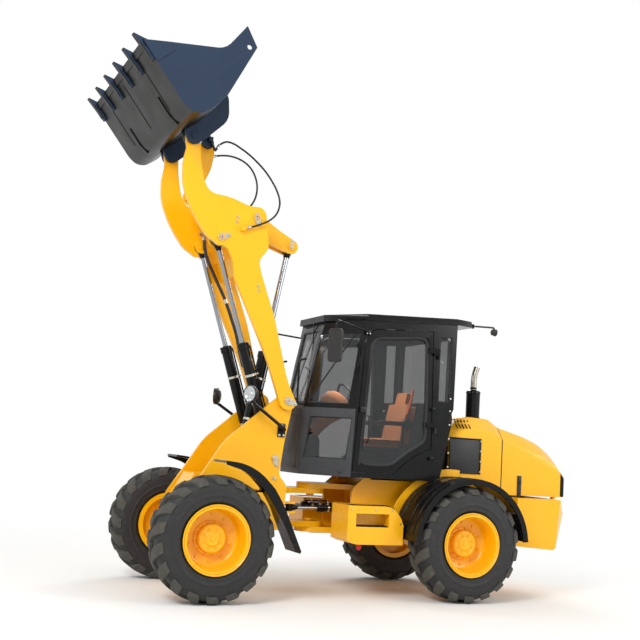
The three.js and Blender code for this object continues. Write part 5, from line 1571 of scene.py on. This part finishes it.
class LOADER_OT_mirrors(bpy.types.Operator):
    """Builds the rear-view mirrors on their tube arms"""
    bl_idname = "loader.mirrors"
    bl_label = "Mirrors"

    def execute(self, context):
        for side, sign in SIDES:
            x, y, z = MIRROR_SPOT[0], sign * MIRROR_SPOT[1], MIRROR_SPOT[2]
            turned = Matrix.Translation((x, y, z)) @ Matrix.Rotation(sign * math.radians(30), 4, "Z")
            housing = self.rounded_plate(turned, (-20, 16), 88, 182, 38)
            piece = finish_piece(housing, f"mirror_housing_{side}", "plastic", "rear", (f"mirror_{side}",),
                                 0.007)
            piece.modifiers["plate_edge"].segments = 3
            pane = self.rounded_plate(turned, (-24, -19), 78, 171, 30)
            finish_piece(pane, f"mirror_glass_{side}", "mirror", "rear")
            bm = bmesh.new()
            add_tube(bm, [(-240, sign * 712, 2925), (-220, sign * 760, 2930), (x, y, 2992), (x, y, 2860)],
                     11, bend=60, sides=14)
            clamp_x = MIRROR_CLAMP_X
            add_box(bm, (clamp_x - 32, sign * (CAB_HALF + 0.5), 2896), (clamp_x + 32, sign * 730, 2948), 6)
            finish_piece(bm, f"mirror_arm_{side}", "black", "rear")
            spots = [(clamp_x + offset, sign * 729, 2910) for offset in (-18, 18)]
            bolt_set(f"mirror_clamp_{side}", "rear", spots, (0, sign, 0), 13)
        return {"FINISHED"}

    def rounded_plate(self, place, depth, half_width, half_height, corner):
        """An upright plate with round corners, as thick as its depth's two values are apart."""
        bm = bmesh.new()
        add_box(bm, (depth[0], -half_width, -half_height), (depth[1], half_width, half_height))
        round_edges(bm, [e for e in bm.edges if abs(e.verts[0].co.x - e.verts[1].co.x) > 1], corner, 5)
        bmesh.ops.transform(bm, matrix=place, verts=bm.verts)
        return bm


# ------------------------------------------------------------------ hoses
# Routes of the bucket hoses, as they hang between the bucket's valve block and the arms.
HOSE_A = [
    (1486, 110, 4896), (1459, 110, 4937), (1421, 112, 4969), (1370, 116, 4989), (1294, 125, 4976),
    (1212, 140, 4934), (1118, 160, 4875), (1026, 190, 4795), (936, 230, 4696), (868, 280, 4585),
    (822, 340, 4469), (799, 400, 4345), (817, 450, 4240), (864, 490, 4148), (938, 510, 4072),
    (1030, 515, 4016), (1119, 510, 3976), (1197, 505, 3951)]
HOSE_B = [
    (1471, -110, 4852), (1413, -110, 4872), (1340, -115, 4890), (1253, -120, 4899), (1151, -130, 4890),
    (1059, -140, 4860), (983, -150, 4810), (924, -160, 4738), (885, -170, 4649), (873, -180, 4557),
    (887, -190, 4460), (930, -200, 4371), (985, -200, 4300), (1028, -200, 4235), (1050, -200, 4175)]
# From the bucket port, in metres: the run over which a hose passes from the bucket to the arms.
CRIMP = [(0, -2), (13, -2), (13, 10), (16.5, 12), (16.5, 26), (15, 28), (16.5, 30), (16.5, 50), (12, 54),
         (0, 54)]
SUPPLY_HOSE_Y = -190


def smooth_route(points, steps=6):
    """Catmull-Rom curve through a route's points."""
    knots = [Vector(p) for p in points]
    knots = [2 * knots[0] - knots[1]] + knots + [2 * knots[-1] - knots[-2]]
    line = []
    for p0, p1, p2, p3 in zip(knots, knots[1:], knots[2:], knots[3:]):
        for i in range(steps):
            t = i / steps
            line.append(0.5 * (2 * p1 + (p2 - p0) * t + (2 * p0 - 5 * p1 + 4 * p2 - p3) * t ** 2
                               + (3 * p1 - p0 - 3 * p2 + p3) * t ** 3))
    return line + [knots[-2]]


def crimp(name, body, end, inner):
    """Crimped ferrule on a hose's end, pointing along the hose."""
    bm = bmesh.new()
    add_turned(bm, CRIMP, end, (inner - end).normalized(), 24)
    finish_piece(bm, name, "plated", body)


class LOADER_OT_hoses(bpy.types.Operator):
    """Builds the two bucket hoses with their crimped ends, and the hoses of the frames"""
    bl_idname = "loader.hoses"
    bl_label = "Hoses"

    def execute(self, context):
        radius = sizes().hose / 2 / MM
        for label, route in (("a", HOSE_A), ("b", HOSE_B)):
            line = smooth_route(route)
            bm = bmesh.new()
            add_tube(bm, line, radius, sides=16)
            hose = finish_piece(bm, f"bucket_hose_{label}", "hose", None, (f"hose_{label}",), smooth=80)
            crimp(f"hose_crimp_{label}", "boom", line[-1], line[-3])
            crimp(f"bucket_crimp_{label}", "bucket", line[0], line[2])
            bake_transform(hose)
        self.frame_hoses()
        self.arm_hoses()
        return {"FINISHED"}

    def frame_hoses(self):
        """Steering and lift hoses in the front frame, by the articulation."""
        bm = bmesh.new()
        for sign in (1, -1):
            for rise in (0, 34):
                route = ((420, 120, 1010), (520, 150, 1100), (600, 240, 1150), (640, 290, 1330))
                add_tube(bm, [(x, sign * y, z + rise) for x, y, z in route], 12, smooth=True)
        finish_piece(bm, "front_frame_hoses", "hose", "front", smooth=80)

    def arm_hoses(self):
        """Thick supply hose down the inside of an arm, with a plated tee at its top."""
        y = SUPPLY_HOSE_Y
        route = ((1462, 3900), (1452, 3800), (1400, 3650), (1290, 3450), (1165, 3230), (1060, 2990),
                 (1000, 2840), (950, 2660), (890, 2480))
        bm = bmesh.new()
        add_tube(bm, smooth_route([across(point, y) for point in route]), 19, sides=16)
        finish_piece(bm, "arm_supply_hose", "hose", "boom", smooth=80)
        bm = bmesh.new()
        add_rod(bm, (1466, y, 3884), (1460, y, 3960), 26, sides=6)
        add_rod(bm, (1400, y, 3944), (1520, y, 3952), 20, sides=20)
        add_rod(bm, (1502, y, 3951), (1530, y, 3953), 27, sides=6)
        add_rod(bm, (1460, y, 3950), (1460, y + 4, 4050), 14, sides=16)
        add_rod(bm, (1168, y, 3236), (1146, y, 3190), 25, sides=20)
        finish_piece(bm, "arm_hose_tee", "plated", "boom", edge=0.001)
        self.lift_pin_bosses()

    def lift_pin_bosses(self):
        """Bosses for the lift rods' pins on the inside of the arms."""
        bm = bmesh.new()
        for sign in (1, -1):
            add_turned(bm, [(0, 0), (74, 0), (78, 4), (78, 12), (74, 16), (0, 16)],
                       across(LIFT_ROD_PIVOT, sign * 236), (0, sign, 0), 40)
            add_turned(bm, [(0, 0), (30, 0), (30, 12), (26, 16), (0, 16)],
                       across(LIFT_ROD_PIVOT, sign * 237), (0, -sign, 0), 28)
        finish_piece(bm, "lift_pin_bosses", "yellow", "boom", edge=0.001)


# ------------------------------------------------------------------ studio
WORLD_LIGHT = 0.70
LAMPS = (("key_lamp", (9.0, 8.5, 9.5), 5.0, 1150), ("fill_lamp", (-8.5, 9.0, 6.0), 6.0, 420),
         ("back_lamp", (-5.0, -9.0, 8.0), 5.0, 420))
CAB_LAMP_SPOT = (MIDDLE_X - 0.45, 0.10, 2.9)
CAMERA_SPOT = Vector((4.7575, 10.9671, 1.6389))
CAMERA_TURN = (-113.2546, 6.9597, 3.4751)
CAMERA_LENS = 57.58


class LOADER_OT_stage(bpy.types.Operator):
    """Builds the plain floor, the soft lamps and the camera"""
    bl_idname = "loader.stage"
    bl_label = "Studio"

    def execute(self, context):
        bm = bmesh.new()
        bmesh.ops.create_grid(bm, x_segments=1, y_segments=1, size=60)
        mesh = bpy.data.meshes.new("studio_floor")
        bm.to_mesh(mesh)
        bm.free()
        mesh.materials.append(floor_material())
        floor = link_object("studio_floor", mesh)
        self.lamps()
        self.world()
        self.camera()
        bpy.context.scene.view_settings.view_transform = "Standard"
        return {"FINISHED"}

    def lamps(self):
        """Three soft round lamps about the loader, and a small one under the cab's roof."""
        target = Vector((MIDDLE_X, 0, 1.8))
        for name, spot, size, power in LAMPS:
            light = bpy.data.lights.new(name, "AREA")
            light.shape = "DISK"
            light.size = size
            light.energy = power
            lamp = link_object(name, light)
            lamp.location = spot
            lamp.rotation_euler = (target - Vector(spot)).to_track_quat("-Z", "Y").to_euler()
        light = bpy.data.lights.new("cab_lamp", "AREA")
        light.size = 0.5
        light.energy = 34
        link_object("cab_lamp", light).location = CAB_LAMP_SPOT

    def world(self):
        """White where it is seen, mirrored or seen through glass, and a little dimmer as a light."""
        world = bpy.data.worlds.new("studio_world")
        world.use_nodes = True
        tree = world.node_tree
        tree.nodes.clear()
        level = add_node(tree, "ShaderNodeMapRange", span(0, 1, WORLD_LIGHT, 1.0),
                         {"Value": backdrop_rays(tree)})
        sky = add_node(tree, "ShaderNodeBackground", {"Color": (1, 1, 1, 1)}, {"Strength": level})
        tree.links.new(sky, tree.nodes.new("ShaderNodeOutputWorld").inputs["Surface"])
        bpy.context.scene.world = world

    def camera(self):
        """Long lens from the front left, a little over the wheel tops, level with the cab floor."""
        yaw, pitch, roll = (math.radians(a) for a in CAMERA_TURN)
        ahead = Vector((math.cos(yaw) * math.cos(pitch), math.sin(yaw) * math.cos(pitch), math.sin(pitch)))
        level = Vector((math.sin(yaw), -math.cos(yaw), 0))
        above = level.cross(ahead)
        right = level * math.cos(roll) + above * math.sin(roll)
        up = above * math.cos(roll) - level * math.sin(roll)
        data = bpy.data.cameras.new("camera")
        data.lens = CAMERA_LENS
        data.sensor_width = 36
        data.clip_end = 200
        camera = link_object("camera", data)
        rotation = Matrix((right, up, -ahead)).transposed().to_4x4()
        camera.matrix_world = Matrix.Translation(CAMERA_SPOT + TO_MIDDLE) @ rotation
        bpy.context.scene.camera = camera


def backdrop_rays(tree):
    """1 for the rays that see the backdrop: straight, mirrored or through glass."""
    seen = add_node(tree, "ShaderNodeLightPath", output="Is Camera Ray")
    for kind in ("Is Glossy Ray", "Is Transmission Ray"):
        ray = add_node(tree, "ShaderNodeLightPath", output=kind)
        seen = add_node(tree, "ShaderNodeMath", {"operation": "MAXIMUM"}, {0: seen, 1: ray})
    return seen


def floor_material():
    """Pale seamless floor that keeps the loader's shadow and fades to the backdrop's white."""
    material, tree, shader = new_material("studio_floor_paper", {
        "Base Color": (*linear("#F4F3F0"), 1), "Roughness": 0.9, "Specular IOR Level": 0.2})
    uneven_gloss(tree, shader, 900, 3, 0.3, 0.8, 0.86, 0.96)
    place = add_node(tree, "ShaderNodeTexCoord", output="Object")
    away = add_node(tree, "ShaderNodeVectorMath", {"operation": "LENGTH"}, {0: place}, "Value")
    far = add_node(tree, "ShaderNodeMapRange", span(2.2, 8.0), {"Value": away})
    fade = add_node(tree, "ShaderNodeMath", PRODUCT, {0: far, 1: backdrop_rays(tree)})
    white = add_node(tree, "ShaderNodeEmission", {"Color": (1, 1, 1, 1), "Strength": 1.0})
    blend = add_node(tree, "ShaderNodeMixShader", links={0: fade, 1: shader.outputs[0], 2: white})
    tree.links.new(blend, tree.nodes["Material Output"].inputs["Surface"])
    return material


# ------------------------------------------------------------------ add-on
class LOADER_PT_panel(bpy.types.Panel):
    """Lists the loader's colours, sizes and pieces"""
    bl_idname = "LOADER_PT_panel"
    bl_label = "Wheel loader"
    bl_space_type = "VIEW_3D"
    bl_region_type = "UI"
    bl_category = "Loader"

    def draw(self, context):
        layout = self.layout
        for group in (context.scene.loader_colours, context.scene.loader_sizes):
            for name in group.bl_rna.properties.keys():
                if name not in ("rna_type", "name"):
                    layout.prop(group, name)
        for operator in PIECES:
            layout.operator(operator.bl_idname)


PIECES = (LOADER_OT_stage, LOADER_OT_hoses, LOADER_OT_steelwork, LOADER_OT_pins, LOADER_OT_cylinders,
          LOADER_OT_wheels, LOADER_OT_cab, LOADER_OT_seat, LOADER_OT_controls, LOADER_OT_engine_cover,
          LOADER_OT_exhaust, LOADER_OT_fenders, LOADER_OT_steps, LOADER_OT_work_lamps, LOADER_OT_mirrors)
CLASSES = (LoaderColours, LoaderSizes) + PIECES + (LOADER_PT_panel,)


def register():
    """Registers the groups, operators and panel."""
    for item in CLASSES:
        bpy.utils.register_class(item)
    bpy.types.Scene.loader_colours = PointerProperty(type=LoaderColours)
    bpy.types.Scene.loader_sizes = PointerProperty(type=LoaderSizes)


def unregister():
    """Takes them away again."""
    del bpy.types.Scene.loader_sizes
    del bpy.types.Scene.loader_colours
    for item in reversed(CLASSES):
        bpy.utils.unregister_class(item)


def main():
    """Builds everything in order."""
    register()
    make_materials()
    for operator in PIECES:
        group, name = operator.bl_idname.split(".")
        getattr(getattr(bpy.ops, group), name)()


if __name__ == "__main__":
    main()
